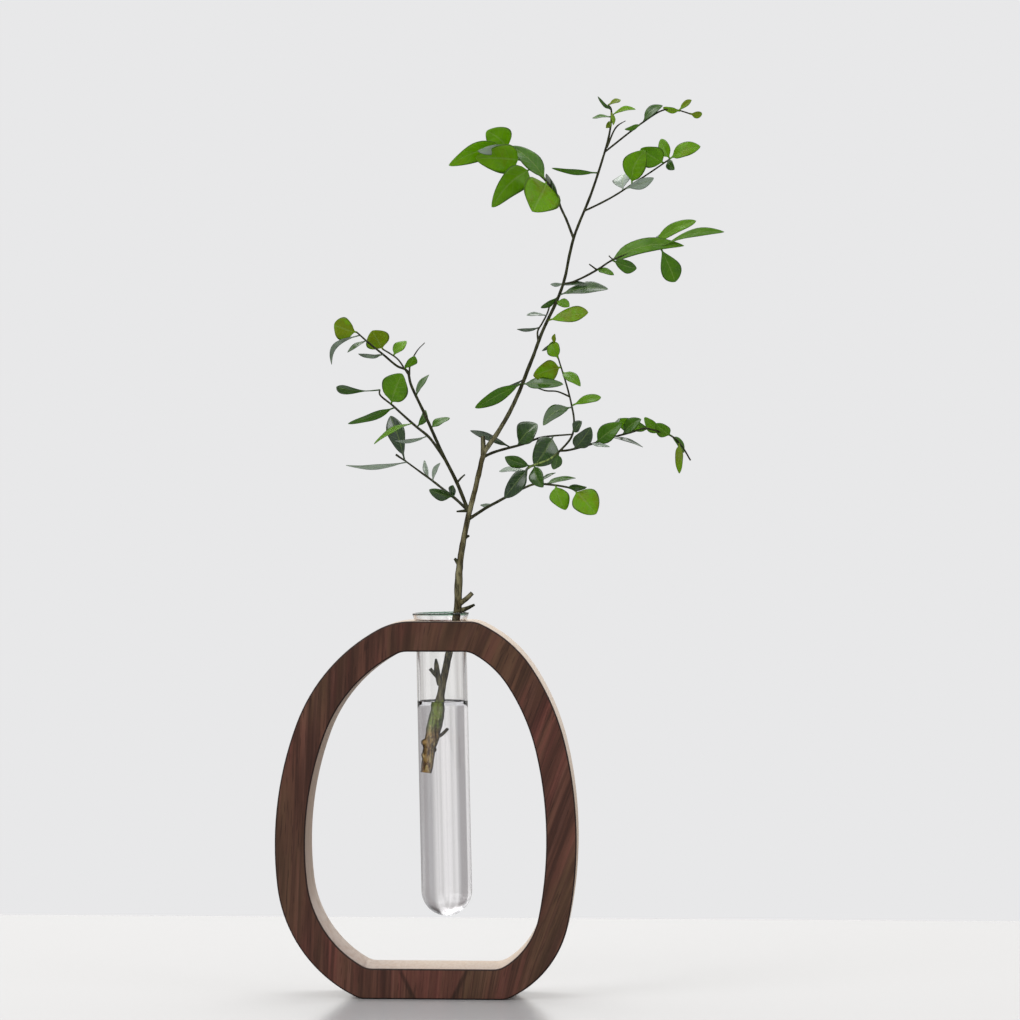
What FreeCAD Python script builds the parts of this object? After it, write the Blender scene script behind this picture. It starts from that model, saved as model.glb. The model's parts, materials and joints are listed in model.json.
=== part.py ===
import FreeCAD, Part

import math
import os

# Bud vase: a board frame with a test tube hung in its top rail and one leafy sprig in the tube.
# Millimetres. X runs across the frame, Y away from the viewer, Z up. The origin is on the table,
# under the axis of the hole and half way through the board.

# Test tube, the standard 25 x 150 size
TUBE_LENGTH = 150.0
TUBE_DIAMETER = 25.0
TUBE_WALL = 1.2
RIM_FLARE = 1.5
FLARE_RUN = 5.2
TUBE_LEAN_DEGREES = 1.28
SEAT_GAP = 0.45

# Board frame
FRAME_WIDTH = 148.3
FRAME_DEPTH = 32.0
RAIL = 15.0
FLOOR_GAP = 24.3
HOLE_CLEARANCE = 0.6
HOLE_PLACE_SHARE = 0.544
EDGE_ROUND = 0.9
TOP_LEFT_ROUND = 34.0
TOP_RIGHT_ROUND = 13.0
BASE_ROUND = 12.0
WINDOW_ROUND = 11.0
OVERRUN = 2.0

# Water
WATER_DROP = 44.1
WATER_GAP = 0.05
MENISCUS = 1.2

# Sprig
SPRIG_HEIGHT = 250.0
STEM_DIAMETER = 4.0
STEM_DIP = 79.0
STEM_CLEARANCE = 0.5
LEAF_THICKNESS = 0.4
PETIOLE_WIDTH = 0.9

TUBE_RADIUS = TUBE_DIAMETER / 2
INNER_RADIUS = TUBE_RADIUS - TUBE_WALL
STEM_RADIUS = STEM_DIAMETER / 2
TUBE_LEAN = math.radians(TUBE_LEAN_DEGREES)
HOLE_RADIUS = TUBE_RADIUS + HOLE_CLEARANCE

# How far the rim stands over the mouth of the hole: the flare stops the tube where it is as wide as the hole
FLARE_SHARE = HOLE_CLEARANCE / RIM_FLARE
RIM_STAND = FLARE_RUN - FLARE_SHARE * (FLARE_RUN - TUBE_WALL / 2) + SEAT_GAP
FRAME_HEIGHT = RAIL + FLOOR_GAP + TUBE_LENGTH * math.cos(TUBE_LEAN) - RIM_STAND

# Outline of the frame from its top corners down each side, as shares of its width and height
LEFT_SIDE_SHARES = [(0.400, 1.0), (0.072, 0.728), (0.008, 0.297), (0.284, 0.0)]
LEFT_HEADING_DEGREES = 202.5
RIGHT_SIDE_SHARES = [(0.665, 1.0), (0.856, 0.875), (0.964, 0.675), (0.9735, 0.201), (0.766, 0.0)]
RIGHT_HEADING_DEGREES = -21.9

# Stem inside the tube: across, as a share of the room beside it, and how far down its dip it is
DIPPED_STEM_SHARES = [(-0.79, 1.0), (-0.58, 0.84), (-0.27, 0.65), (-0.05, 0.49), (0.39, 0.27), (0.94, 0.0)]

# Stem over the rim: across, away and up as shares of the sprig's height, and thickness as a share of the stem's
STEM_SHARES = [
    (0.002, 0.0, 0.053, 0.96),
    (0.006, 0.0, 0.103, 0.80),
    (0.018, -0.002, 0.172, 0.72),
    (0.032, -0.004, 0.228, 0.66),
    (0.044, -0.006, 0.277, 0.64),
    (0.055, -0.008, 0.317, 0.62),
    (0.081, -0.006, 0.356, 0.56),
    (0.113, 0.0, 0.414, 0.50),
    (0.147, 0.010, 0.499, 0.46),
    (0.168, 0.016, 0.556, 0.42),
    (0.196, 0.020, 0.616, 0.40),
    (0.212, 0.020, 0.661, 0.38),
    (0.230, 0.016, 0.741, 0.36),
    (0.265, 0.008, 0.828, 0.32),
    (0.293, 0.0, 0.913, 0.28),
    (0.303, -0.004, 0.956, 0.25),
    (0.305, -0.008, 0.990, 0.22),
    (0.299, -0.010, 1.0, 0.16),
]

# Cut stubs on the stem: root, end and thickness in the same shares
STUB_SHARES = [
    ((0.004, 0.0, 0.014), (0.030, -0.006, 0.038), 0.50),
    ((0.052, -0.008, 0.307), (0.051, -0.010, 0.348), 0.60),
]

# Twigs: parent, thickness at root and tip as shares of the stem's, and the route in shares of the sprig's height
TWIG_SHARES = {
    "left_high": ("stem", 0.48, 0.21, [
        (0.022, -0.002, 0.200), (0.000, -0.008, 0.256), (-0.026, -0.020, 0.309), (-0.040, -0.028, 0.341),
        (-0.063, -0.040, 0.394), (-0.087, -0.048, 0.446), (-0.095, -0.052, 0.475), (-0.115, -0.060, 0.485),
        (-0.141, -0.072, 0.507), (-0.168, -0.084, 0.529), (-0.190, -0.096, 0.549),
    ]),
    "left_side": ("left_high", 0.25, 0.20, [
        (-0.094, -0.052, 0.470), (-0.102, -0.050, 0.482), (-0.117, -0.040, 0.501), (-0.145, -0.028, 0.519),
    ]),
    "left_back": ("left_high", 0.38, 0.21, [
        (-0.022, -0.018, 0.300), (-0.053, -0.004, 0.343), (-0.083, 0.008, 0.368), (-0.113, 0.020, 0.394),
        (-0.131, 0.032, 0.410), (-0.156, 0.040, 0.430), (-0.158, 0.044, 0.442),
    ]),
    "left_low": ("stem", 0.40, 0.22, [
        (0.024, -0.003, 0.198), (-0.002, 0.016, 0.222), (-0.026, 0.032, 0.240), (-0.051, 0.048, 0.259),
        (-0.075, 0.056, 0.276), (-0.110, 0.068, 0.301),
    ]),
    "right_low": ("stem", 0.42, 0.21, [
        (0.020, -0.002, 0.182), (0.055, -0.020, 0.204), (0.089, -0.040, 0.222), (0.133, -0.064, 0.244),
        (0.164, -0.080, 0.253), (0.218, -0.104, 0.247), (0.236, -0.108, 0.240),
    ]),
    "right_mid": ("right_low", 0.35, 0.19, [
        (0.133, -0.064, 0.244), (0.139, -0.072, 0.269), (0.145, -0.074, 0.285), (0.184, -0.060, 0.301),
        (0.210, -0.048, 0.323), (0.228, -0.036, 0.347), (0.232, -0.024, 0.376), (0.226, -0.012, 0.412),
        (0.216, 0.0, 0.450), (0.200, 0.012, 0.501), (0.190, 0.016, 0.536),
    ]),
    "right_inner": ("stem", 0.40, 0.21, [
        (0.053, -0.008, 0.307), (0.069, 0.0, 0.315), (0.093, 0.016, 0.323), (0.129, 0.032, 0.333),
        (0.160, 0.038, 0.345), (0.184, 0.036, 0.349), (0.226, 0.028, 0.352),
    ]),
    "right_droop": ("right_mid", 0.30, 0.20, [
        (0.204, -0.050, 0.318), (0.224, -0.040, 0.320), (0.263, -0.016, 0.331), (0.305, 0.008, 0.345),
        (0.343, 0.032, 0.356), (0.370, 0.048, 0.364), (0.398, 0.060, 0.358), (0.424, 0.068, 0.349),
        (0.444, 0.072, 0.329), (0.461, 0.076, 0.301),
    ]),
    "upper_side": ("stem", 0.25, 0.20, [
        (0.160, 0.014, 0.533), (0.158, 0.026, 0.556), (0.166, 0.034, 0.572), (0.176, 0.042, 0.592),
        (0.182, 0.046, 0.612),
    ]),
    "upper_right": ("stem", 0.30, 0.20, [
        (0.208, 0.020, 0.650), (0.226, 0.008, 0.652), (0.255, -0.016, 0.663), (0.283, -0.036, 0.677),
        (0.305, -0.050, 0.690), (0.335, -0.062, 0.701), (0.370, -0.070, 0.709), (0.408, -0.078, 0.717),
    ]),
    "top_left": ("stem", 0.33, 0.22, [
        (0.230, 0.016, 0.739), (0.216, 0.028, 0.776), (0.204, 0.036, 0.802), (0.194, 0.044, 0.830),
        (0.168, 0.052, 0.863), (0.133, 0.060, 0.893), (0.095, 0.064, 0.925),
    ]),
    "crown_low": ("stem", 0.26, 0.20, [
        (0.252, 0.011, 0.794), (0.283, 0.024, 0.810), (0.313, 0.040, 0.828), (0.349, 0.056, 0.853),
        (0.378, 0.068, 0.873), (0.420, 0.080, 0.903),
    ]),
    "crown_high": ("stem", 0.25, 0.18, [
        (0.292, 0.0, 0.909), (0.339, -0.024, 0.943), (0.370, -0.040, 0.964), (0.402, -0.056, 0.982),
        (0.428, -0.068, 0.984), (0.459, -0.080, 0.974),
    ]),
}

# Leaves: place along the twig, reach of the tip across, away and up, width, turn in degrees, and widest place.
# The reach and width are shares of the sprig's height and the places are shares of the twig's and leaf's length.
LEAF_SHARES = {
    "left_high": [
        (1.00, (-0.046, 0.012, 0.016), 0.048, 20, 0.52),
        (0.98, (-0.060, 0.040, -0.056), 0.011, 30, 0.50),
        (0.94, (-0.034, -0.030, -0.024), 0.012, -40, 0.50),
        (0.84, (-0.046, -0.030, 0.000), 0.016, 60, 0.45),
        (0.58, (0.024, 0.020, 0.043), 0.020, 50, 0.50),
        (0.72, (0.022, -0.024, 0.024), 0.026, -55, 0.60),
        (0.42, (0.036, 0.020, 0.020), 0.022, 45, 0.45),
    ],
    "left_side": [
        (1.00, (-0.020, -0.016, 0.036), 0.050, 0, 0.52),
        (0.65, (0.024, 0.020, 0.030), 0.026, 35, 0.50),
    ],
    "left_back": [
        (0.80, (0.024, -0.024, 0.060), 0.062, 20, 0.52),
        (1.00, (-0.083, -0.040, 0.004), 0.028, 50, 0.84),
        (0.75, (-0.096, 0.024, -0.032), 0.022, 50, 0.45),
        (0.50, (-0.073, -0.036, -0.042), 0.022, -60, 0.45),
        (0.30, (-0.064, -0.020, -0.010), 0.014, 60, 0.50),
        (0.44, (0.016, 0.024, 0.034), 0.022, -50, 0.60),
    ],
    "left_low": [
        (1.00, (-0.030, 0.016, 0.090), 0.042, 30, 0.60),
        (0.97, (-0.126, 0.036, -0.006), 0.018, 60, 0.50),
        (0.28, (-0.046, -0.020, 0.014), 0.027, 30, 0.50),
        (0.27, (0.000, -0.016, 0.024), 0.020, 40, 0.60),
        (0.60, (0.016, -0.018, 0.036), 0.013, 40, 0.50),
        (0.66, (-0.010, 0.018, 0.036), 0.012, 30, 0.50),
    ],
    "right_low": [
        (0.76, (0.057, 0.024, 0.012), 0.016, 50, 0.40),
        (0.84, (0.020, -0.016, -0.048), 0.040, 25, 0.52),
        (1.00, (0.042, -0.020, -0.046), 0.056, 15, 0.51),
        (0.94, (0.038, -0.024, 0.000), 0.016, -40, 0.50),
        (0.68, (0.036, 0.020, 0.022), 0.010, 50, 0.50),
        (0.26, (-0.026, 0.018, -0.002), 0.009, 30, 0.50),
    ],
    "right_mid": [
        (0.14, (-0.050, -0.024, 0.018), 0.026, 25, 0.60),
        (0.10, (-0.054, 0.020, 0.000), 0.016, -50, 0.60),
        (0.12, (-0.044, -0.036, -0.058), 0.038, 30, 0.55),
        (0.16, (0.018, -0.020, -0.044), 0.032, -25, 0.50),
        (0.31, (-0.008, 0.020, -0.032), 0.024, 35, 0.50),
        (0.46, (0.018, -0.020, 0.022), 0.022, 30, 0.55),
        (0.62, (0.057, 0.028, 0.018), 0.022, 30, 0.62),
        (0.61, (-0.056, -0.026, -0.036), 0.030, -30, 0.50),
        (0.82, (0.036, -0.028, -0.029), 0.026, 35, 0.42),
        (0.85, (-0.054, -0.024, -0.018), 0.044, 25, 0.50),
        (0.90, (-0.014, 0.008, 0.034), 0.032, 25, 0.55),
        (1.00, (-0.024, 0.020, -0.018), 0.008, 40, 0.50),
        (0.99, (0.002, -0.010, 0.018), 0.010, 30, 0.50),
    ],
    "right_inner": [
        (0.33, (-0.082, 0.020, 0.034), 0.020, 45, 0.50),
        (0.41, (0.040, -0.020, 0.042), 0.048, 25, 0.55),
        (0.80, (-0.036, -0.028, -0.060), 0.058, 25, 0.50),
    ],
    "right_droop": [
        (0.10, (0.034, -0.032, 0.042), 0.036, -25, 0.50),
        (0.26, (0.052, -0.024, 0.038), 0.036, 15, 0.45),
        (0.32, (0.032, 0.016, 0.044), 0.014, 50, 0.50),
        (0.59, (-0.044, -0.028, 0.020), 0.032, 30, 0.50),
        (0.66, (-0.056, 0.020, 0.022), 0.028, 40, 0.50),
        (0.74, (-0.036, 0.024, 0.030), 0.028, 40, 0.50),
        (0.80, (-0.030, -0.012, 0.024), 0.030, 25, 0.50),
        (0.46, (0.036, -0.022, 0.030), 0.028, 25, 0.50),
        (0.38, (0.061, -0.032, -0.020), 0.010, 45, 0.40),
        (0.23, (0.036, -0.022, -0.006), 0.010, 40, 0.50),
        (0.87, (0.000, -0.012, -0.061), 0.020, 35, 0.50),
        (0.80, (0.026, 0.020, -0.034), 0.018, 40, 0.50),
    ],
    "stem": [
        (0.460, (-0.070, 0.028, -0.030), 0.018, 60, 0.50),
        (0.452, (-0.093, -0.028, -0.050), 0.029, 30, 0.58),
        (0.450, (0.082, -0.028, -0.002), 0.028, 35, 0.50),
        (0.578, (0.082, -0.032, 0.014), 0.036, 30, 0.66),
        (0.630, (0.098, -0.032, 0.010), 0.030, 40, 0.56),
        (0.628, (-0.036, 0.012, -0.022), 0.014, 40, 0.60),
        (0.618, (0.026, -0.020, -0.012), 0.022, 30, 0.55),
        (0.650, (0.046, -0.024, 0.002), 0.010, 30, 0.50),
        (0.653, (-0.026, 0.016, 0.000), 0.009, 30, 0.50),
        (0.870, (-0.093, 0.024, 0.012), 0.016, 55, 0.50),
        (0.990, (-0.026, -0.016, 0.024), 0.010, 50, 0.40),
        (1.000, (0.024, 0.016, 0.012), 0.013, 35, 0.60),
        (0.978, (0.048, -0.024, 0.010), 0.013, 40, 0.55),
        (0.976, (-0.038, 0.016, 0.000), 0.011, -45, 0.60),
        (0.968, (-0.010, -0.012, -0.014), 0.012, 30, 0.50),
        (0.984, (0.004, -0.016, -0.026), 0.010, 30, 0.50),
    ],
    "upper_side": [
        (0.40, (-0.046, 0.024, -0.002), 0.010, 50, 0.50),
        (0.72, (-0.038, -0.020, 0.000), 0.012, -45, 0.60),
    ],
    "upper_right": [
        (0.50, (0.150, -0.036, 0.030), 0.034, 25, 0.42),
        (0.55, (0.048, -0.028, -0.018), 0.030, -35, 0.62),
        (0.88, (0.091, 0.016, 0.056), 0.026, 25, 0.62),
        (0.88, (0.034, 0.024, 0.034), 0.014, 30, 0.50),
        (1.00, (0.118, -0.028, 0.024), 0.020, 35, 0.60),
        (0.97, (0.030, 0.016, -0.068), 0.042, 10, 0.68),
        (0.38, (0.034, -0.024, -0.012), 0.016, 35, 0.50),
    ],
    "top_left": [
        (0.56, (-0.072, 0.030, 0.074), 0.038, -25, 0.50),
        (0.31, (-0.030, 0.032, 0.068), 0.024, 45, 0.50),
        (0.98, (-0.044, -0.010, 0.036), 0.056, 10, 0.44),
        (0.99, (-0.056, -0.070, -0.012), 0.024, 40, 0.50),
        (1.00, (-0.114, -0.036, -0.038), 0.042, 30, 0.46),
        (0.84, (-0.090, -0.044, 0.000), 0.060, 20, 0.40),
        (0.73, (-0.078, -0.032, -0.080), 0.056, 30, 0.38),
        (0.56, (-0.026, -0.048, -0.064), 0.086, 20, 0.48),
    ],
    "crown_low": [
        (0.55, (0.026, -0.024, 0.065), 0.050, 15, 0.52),
        (0.93, (-0.046, -0.028, 0.026), 0.048, 20, 0.50),
        (1.00, (-0.018, 0.020, 0.042), 0.027, 25, 0.50),
        (1.00, (0.061, -0.020, 0.022), 0.034, 25, 0.52),
        (0.97, (0.014, -0.018, -0.020), 0.020, -30, 0.50),
        (0.44, (0.002, 0.032, 0.036), 0.042, 30, 0.62),
        (0.48, (0.055, -0.024, 0.018), 0.022, -30, 0.55),
    ],
    "crown_high": [
        (0.49, (0.038, -0.016, 0.030), 0.021, 25, 0.50),
        (0.45, (-0.030, -0.020, -0.012), 0.012, 45, 0.50),
        (0.90, (-0.034, 0.016, 0.008), 0.014, 40, 0.50),
        (0.89, (0.024, -0.016, 0.018), 0.014, 30, 0.60),
        (1.00, (0.024, 0.016, 0.000), 0.016, -35, 0.60),
    ],
}

# Cross sections along a leaf: its stalk ends at the second, and the blade arches by a share of the length
LEAF_SECTION_SHARES = [0.0, 0.12, 0.28, 0.46, 0.64, 0.82, 0.95, 1.0]
LEAF_FOLD_SHARE = 0.22
LEAF_ARCH_SHARE = 0.07


def vector(x, y, z):
    return FreeCAD.Vector(x, y, z)


def leaned(shape):
    """Turns a shape made upright under the rim about the middle of the hole's mouth, as the tube leans."""
    shape = shape.copy()
    shape.translate(vector(0, 0, FRAME_HEIGHT + RIM_STAND))
    shape.rotate(vector(0, 0, FRAME_HEIGHT), vector(0, 1, 0), -TUBE_LEAN_DEGREES)
    return shape


def leaned_point(across, drop):
    """A point in the tube, across its axis and down from its rim, in the part's frame."""
    up = RIM_STAND - drop
    x = across * math.cos(TUBE_LEAN) - up * math.sin(TUBE_LEAN)
    z = FRAME_HEIGHT + across * math.sin(TUBE_LEAN) + up * math.cos(TUBE_LEAN)
    return vector(x, 0, z)


# Frame

def side_arcs(shares, heading_degrees):
    """Arcs that run smoothly into each other through the points of one side, and the points themselves."""
    points = [((x - HOLE_PLACE_SHARE) * FRAME_WIDTH, z * FRAME_HEIGHT) for x, z in shares]
    heading = math.radians(heading_degrees)
    arcs = []
    for (x0, z0), (x1, z1) in zip(points[:-1], points[1:]):
        chord = math.hypot(x1 - x0, z1 - z0)
        along = math.atan2(z1 - z0, x1 - x0)
        half_turn = math.remainder(along - heading, math.tau)
        bulge = chord / 2 * math.tan(half_turn / 2)
        middle_x = (x0 + x1) / 2 + bulge * math.sin(along)
        middle_z = (z0 + z1) / 2 - bulge * math.cos(along)
        arc = Part.Arc(vector(x0, 0, z0), vector(middle_x, 0, middle_z), vector(x1, 0, z1))
        arcs.append(arc.toShape())
        heading = along + half_turn
    return arcs, [vector(x, 0, z) for x, z in points]


def depth_edges(solid, corner, reach):
    """The edge through the depth that lies nearest to a corner, as a list for a fillet."""
    found = []
    for edge in solid.Edges:
        box = edge.BoundBox
        if abs(box.YLength - FRAME_DEPTH) < reach and box.XLength < reach and box.ZLength < reach:
            found.append(edge)
    return [min(found, key=lambda e: math.hypot(e.CenterOfMass.x - corner.x, e.CenterOfMass.z - corner.z))]


def slab(wire, rounds):
    """A board of the outline's shape with the given radii on the corners named."""
    solid = Part.Face(wire).extrude(vector(0, FRAME_DEPTH, 0))
    solid.translate(vector(0, -FRAME_DEPTH / 2, 0))
    for corner, radius in rounds:
        solid = solid.makeFillet(radius, depth_edges(solid, corner, EDGE_ROUND))
    return solid


def rounded_faces(board):
    """The board with the edges of its front and back rounded over."""
    edges = []
    for edge in board.Edges:
        box = edge.BoundBox
        if box.YLength < EDGE_ROUND and abs(box.YMin) > FRAME_DEPTH / 2 - EDGE_ROUND:
            edges.append(edge)
    return board.makeFillet(EDGE_ROUND, edges)


def make_frame():
    left, left_points = side_arcs(LEFT_SIDE_SHARES, LEFT_HEADING_DEGREES)
    right, right_points = side_arcs(RIGHT_SIDE_SHARES, RIGHT_HEADING_DEGREES)
    top = Part.LineSegment(left_points[0], right_points[0]).toShape()
    base = Part.LineSegment(left_points[-1], right_points[-1]).toShape()
    outline = Part.Wire(Part.__sortEdges__([top] + left + [base] + right))
    window = outline.makeOffset2D(-RAIL)
    corners = [left_points[0], right_points[0], left_points[-1], right_points[-1]]
    rounds = [TOP_LEFT_ROUND, TOP_RIGHT_ROUND, BASE_ROUND, BASE_ROUND]
    board = slab(outline, list(zip(corners, rounds)))
    opening = slab(window, [(corner, WINDOW_ROUND) for corner in corners])
    board = rounded_faces(board.cut(opening))
    hole = Part.makeCylinder(HOLE_RADIUS, RAIL + OVERRUN + OVERRUN, vector(0, 0, FRAME_HEIGHT - RAIL - OVERRUN))
    return board.cut(hole)


# Tube and water

def turned(points):
    """Revolves a profile of (radius, height) runs about the Z axis. Three points in one run make an arc."""
    edges = []
    for run in points:
        ends = [vector(radius, 0, height) for radius, height in run]
        if len(ends) == 3:
            edges.append(Part.Arc(ends[0], ends[1], ends[2]).toShape())
        else:
            edges.append(Part.LineSegment(ends[0], ends[1]).toShape())
    face = Part.Face(Part.Wire(edges))
    return face.revolve(vector(0, 0, 0), vector(0, 0, 1), 360)


def bowl(radius):
    """A quarter circle from the lowest point of a round bottom up to its wall, under the tube's rim."""
    floor = TUBE_RADIUS - TUBE_LENGTH
    slant = radius * math.sqrt(0.5)
    return [(0, floor - radius), (slant, floor - slant), (radius, floor)]


def make_tube():
    outer = bowl(TUBE_RADIUS)
    inner = bowl(INNER_RADIUS)
    lip = TUBE_WALL / 2
    rim = TUBE_RADIUS + RIM_FLARE
    shape = turned([
        outer,
        [outer[-1], (TUBE_RADIUS, -FLARE_RUN)],
        [(TUBE_RADIUS, -FLARE_RUN), (rim, -lip)],
        [(rim, -lip), (rim - lip, 0), (rim - TUBE_WALL, -lip)],
        [(rim - TUBE_WALL, -lip), (INNER_RADIUS, -FLARE_RUN)],
        [(INNER_RADIUS, -FLARE_RUN), inner[-1]],
        inner[::-1],
        [inner[0], outer[0]],
    ])
    return leaned(shape)


def make_water():
    wall = bowl(INNER_RADIUS - WATER_GAP)
    radius = wall[-1][0]
    shape = turned([
        wall,
        [wall[-1], (radius, MENISCUS - WATER_DROP)],
        [(radius, MENISCUS - WATER_DROP), (radius - MENISCUS, -WATER_DROP)],
        [(radius - MENISCUS, -WATER_DROP), (0, -WATER_DROP)],
        [(0, -WATER_DROP), wall[0]],
    ])
    route, radii = stem_route()
    return leaned(shape).cut(limb(route, [radius + STEM_CLEARANCE / 2 for radius in radii]))


# Sprig

def rim_point():
    room = INNER_RADIUS - STEM_RADIUS - STEM_CLEARANCE
    return leaned_point(DIPPED_STEM_SHARES[-1][0] * room, 0)


def placed(across, away, up):
    """A point of the sprig over the rim from its shares."""
    return rim_point() + vector(across, away, up) * SPRIG_HEIGHT


def limb(route, radii):
    """A tapering stem through the route: one ring at each point, square to the way on."""
    rings = []
    for n, (point, radius) in enumerate(zip(route, radii)):
        way = (route[min(n + 1, len(route) - 1)] - route[max(n - 1, 0)]).normalize()
        side = way.cross(vector(0, 1, 0)).normalize()
        ring = Part.Circle(point, way, radius)
        ring.XAxis = side
        rings.append(Part.Wire(ring.toShape()))
    return Part.makeLoft(rings, True, True)


def stem_route():
    room = INNER_RADIUS - STEM_RADIUS - STEM_CLEARANCE
    route = [leaned_point(across * room, down * STEM_DIP) for across, down in DIPPED_STEM_SHARES]
    radii = [STEM_RADIUS] * len(route)
    for across, away, up, thickness in STEM_SHARES:
        route.append(placed(across, away, up))
        radii.append(thickness * STEM_RADIUS)
    return route, radii


def make_stem():
    route, radii = stem_route()
    stem = limb(route, radii)
    for root, end, thickness in STUB_SHARES:
        radius = thickness * STEM_RADIUS
        stem = stem.fuse(limb([placed(*root), placed(*end)], [radius, radius]))
    return stem


def twig_route(name):
    if name == "stem":
        route, radii = stem_route()
        first = len(DIPPED_STEM_SHARES) - 1
        return route[first:], radii[first:]
    parent, root, tip, shares = TWIG_SHARES[name]
    route = [placed(*place) for place in shares]
    steps = len(route) - 1
    radii = [(root + (tip - root) * n / steps) * STEM_RADIUS for n in range(steps + 1)]
    return route, radii


def along(route, share):
    """The point at a share of a route's length."""
    runs = [(b - a).Length for a, b in zip(route[:-1], route[1:])]
    left = share * sum(runs)
    for a, b, run in zip(route[:-1], route[1:], runs):
        if left <= run:
            return a + (b - a) * (left / run)
        left -= run
    return route[-1]


def leaf_half_width(share, widest, width):
    """Half the width of a blade at a share of its length: none at the stalk and the tip, most at the widest place."""
    stalk = LEAF_SECTION_SHARES[1]
    place = (share - stalk) / (1 - stalk)
    bend = math.log(0.5) / math.log((widest - stalk) / (1 - stalk))
    if place <= 0:
        return PETIOLE_WIDTH / 2
    return max(PETIOLE_WIDTH / 2, width / 2 * math.sin(math.pi * min(place, 1) ** bend))


def make_leaf(start, reach, width, turn, widest):
    """One folded, arched blade on its stalk, as a ruled loft through diamonds."""
    way = vector(*reach).normalize()
    length = vector(*reach).Length * SPRIG_HEIGHT
    side = way.cross(vector(0, 1, 0)).normalize()
    facing = side.cross(way)
    angle = math.radians(turn)
    across = side * math.cos(angle) + facing * math.sin(angle)
    normal = way.cross(across)
    sections = []
    for share in LEAF_SECTION_SHARES:
        half = leaf_half_width(share, widest, width * SPRIG_HEIGHT)
        if share == LEAF_SECTION_SHARES[-1]:
            half = LEAF_THICKNESS / 2
        arch = LEAF_ARCH_SHARE * length * math.sin(math.pi * share)
        rib = start + way * (share * length) + normal * arch
        fold = normal * (LEAF_FOLD_SHARE * half)
        thick = normal * (LEAF_THICKNESS / 2)
        corners = [rib - across * half + fold, rib + thick, rib + across * half + fold, rib - thick]
        sections.append(Part.makePolygon(corners + corners[:1]))
    return Part.makeLoft(sections, True, True)


def clear_of(piece, others):
    """What is left of a piece where it grows out of, or lies against, the pieces already made."""
    near = [other for other in others if piece.BoundBox.intersect(other.BoundBox)]
    if near:
        piece = piece.cut(near)
    return max(piece.Solids, key=lambda solid: solid.Volume)


def make_sprig():
    """Every node of the sprig by name: the stem, its twigs, and one group of leaves for each of them."""
    nodes = {"stem": make_stem()}
    for name, (parent, root, tip, shares) in TWIG_SHARES.items():
        route, radii = twig_route(name)
        nodes["twig_" + name] = clear_of(limb(route, radii), list(nodes.values()))
    made = list(nodes.values())
    for name, rows in LEAF_SHARES.items():
        route, radii = twig_route(name)
        leaves = []
        for place, reach, width, turn, widest in rows:
            leaf = clear_of(make_leaf(along(route, place), reach, width, turn, widest), made)
            made.append(leaf)
            leaves.append(leaf)
        nodes["leaves_" + name] = Part.makeCompound(leaves)
    return nodes


def main():
    os.makedirs("parts", exist_ok=True)
    nodes = {"board_frame": make_frame(), "test_tube": make_tube(), "water": make_water()}
    nodes.update(make_sprig())
    for name, shape in nodes.items():
        shape.exportStep("parts/" + name + ".step")
        box = shape.BoundBox
        size = "%.1f x %.1f x %.1f mm" % (box.XLength, box.YLength, box.ZLength)
        print(name, "solids", len(shape.Solids), "volume %.1f" % shape.Volume, size, "valid", shape.isValid())


main()
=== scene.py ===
# %% [markdown]
# # A test tube bud vase
# A walnut board, sawn to the outline of a pebble and hollowed to a frame, carries a glass test tube in a
# hole through its top rail. One leafy sprig stands in the water. The construction model gives every place
# and size. This file dresses it at the same sizes: grain on the board, clear glass, water, bark, leaves.

# %% Load the construction model
import json
import math

import bpy
import bmesh
from mathutils import Matrix, Vector


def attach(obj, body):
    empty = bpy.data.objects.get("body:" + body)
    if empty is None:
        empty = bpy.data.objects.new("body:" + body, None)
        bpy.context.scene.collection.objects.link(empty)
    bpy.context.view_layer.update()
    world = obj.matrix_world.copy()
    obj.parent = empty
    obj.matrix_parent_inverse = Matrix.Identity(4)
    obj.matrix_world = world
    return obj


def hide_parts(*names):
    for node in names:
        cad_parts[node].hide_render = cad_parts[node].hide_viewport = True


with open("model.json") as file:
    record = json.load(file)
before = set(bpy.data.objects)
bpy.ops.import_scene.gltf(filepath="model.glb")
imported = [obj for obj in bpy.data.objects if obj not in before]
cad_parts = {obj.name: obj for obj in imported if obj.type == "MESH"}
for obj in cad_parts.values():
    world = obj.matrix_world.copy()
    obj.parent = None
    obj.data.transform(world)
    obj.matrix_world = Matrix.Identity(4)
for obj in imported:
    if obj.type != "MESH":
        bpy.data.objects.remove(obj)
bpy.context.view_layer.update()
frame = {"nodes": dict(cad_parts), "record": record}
MM = 0.001

# %% [markdown]
# ## The camera
# The photograph was taken level with the middle of the picture, a little right of the vase and 1.6 m away.
# A long lens from there gives the same narrow view of the board's inner walls.

# %% Camera
CAMERA_PLACE = (0.1192, -1.6281, 0.2400)
CAMERA_TURN_DEGREES = 2.985
CAMERA_LENS = 116.4

camera_data = bpy.data.cameras.new("camera")
camera_data.lens = CAMERA_LENS
camera_data.sensor_width = 36.0
camera = bpy.data.objects.new("camera", camera_data)
camera.location = CAMERA_PLACE
camera.rotation_euler = (math.radians(90), 0, math.radians(CAMERA_TURN_DEGREES))
bpy.context.scene.collection.objects.link(camera)
bpy.context.scene.camera = camera
print("camera stands", round(Vector(CAMERA_PLACE).length, 2), "m from the foot of the vase")

# %% [markdown]
# ## Helpers for shader and geometry trees
# A tree of nodes reads best when each node is one line. `add` makes a node and fills in its settings and
# sockets, and `result` does the same and gives what comes out. What comes out is a `Value`, which plain
# arithmetic can be written with: `a * 0.5 + b` adds the two nodes that work it out.

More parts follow.
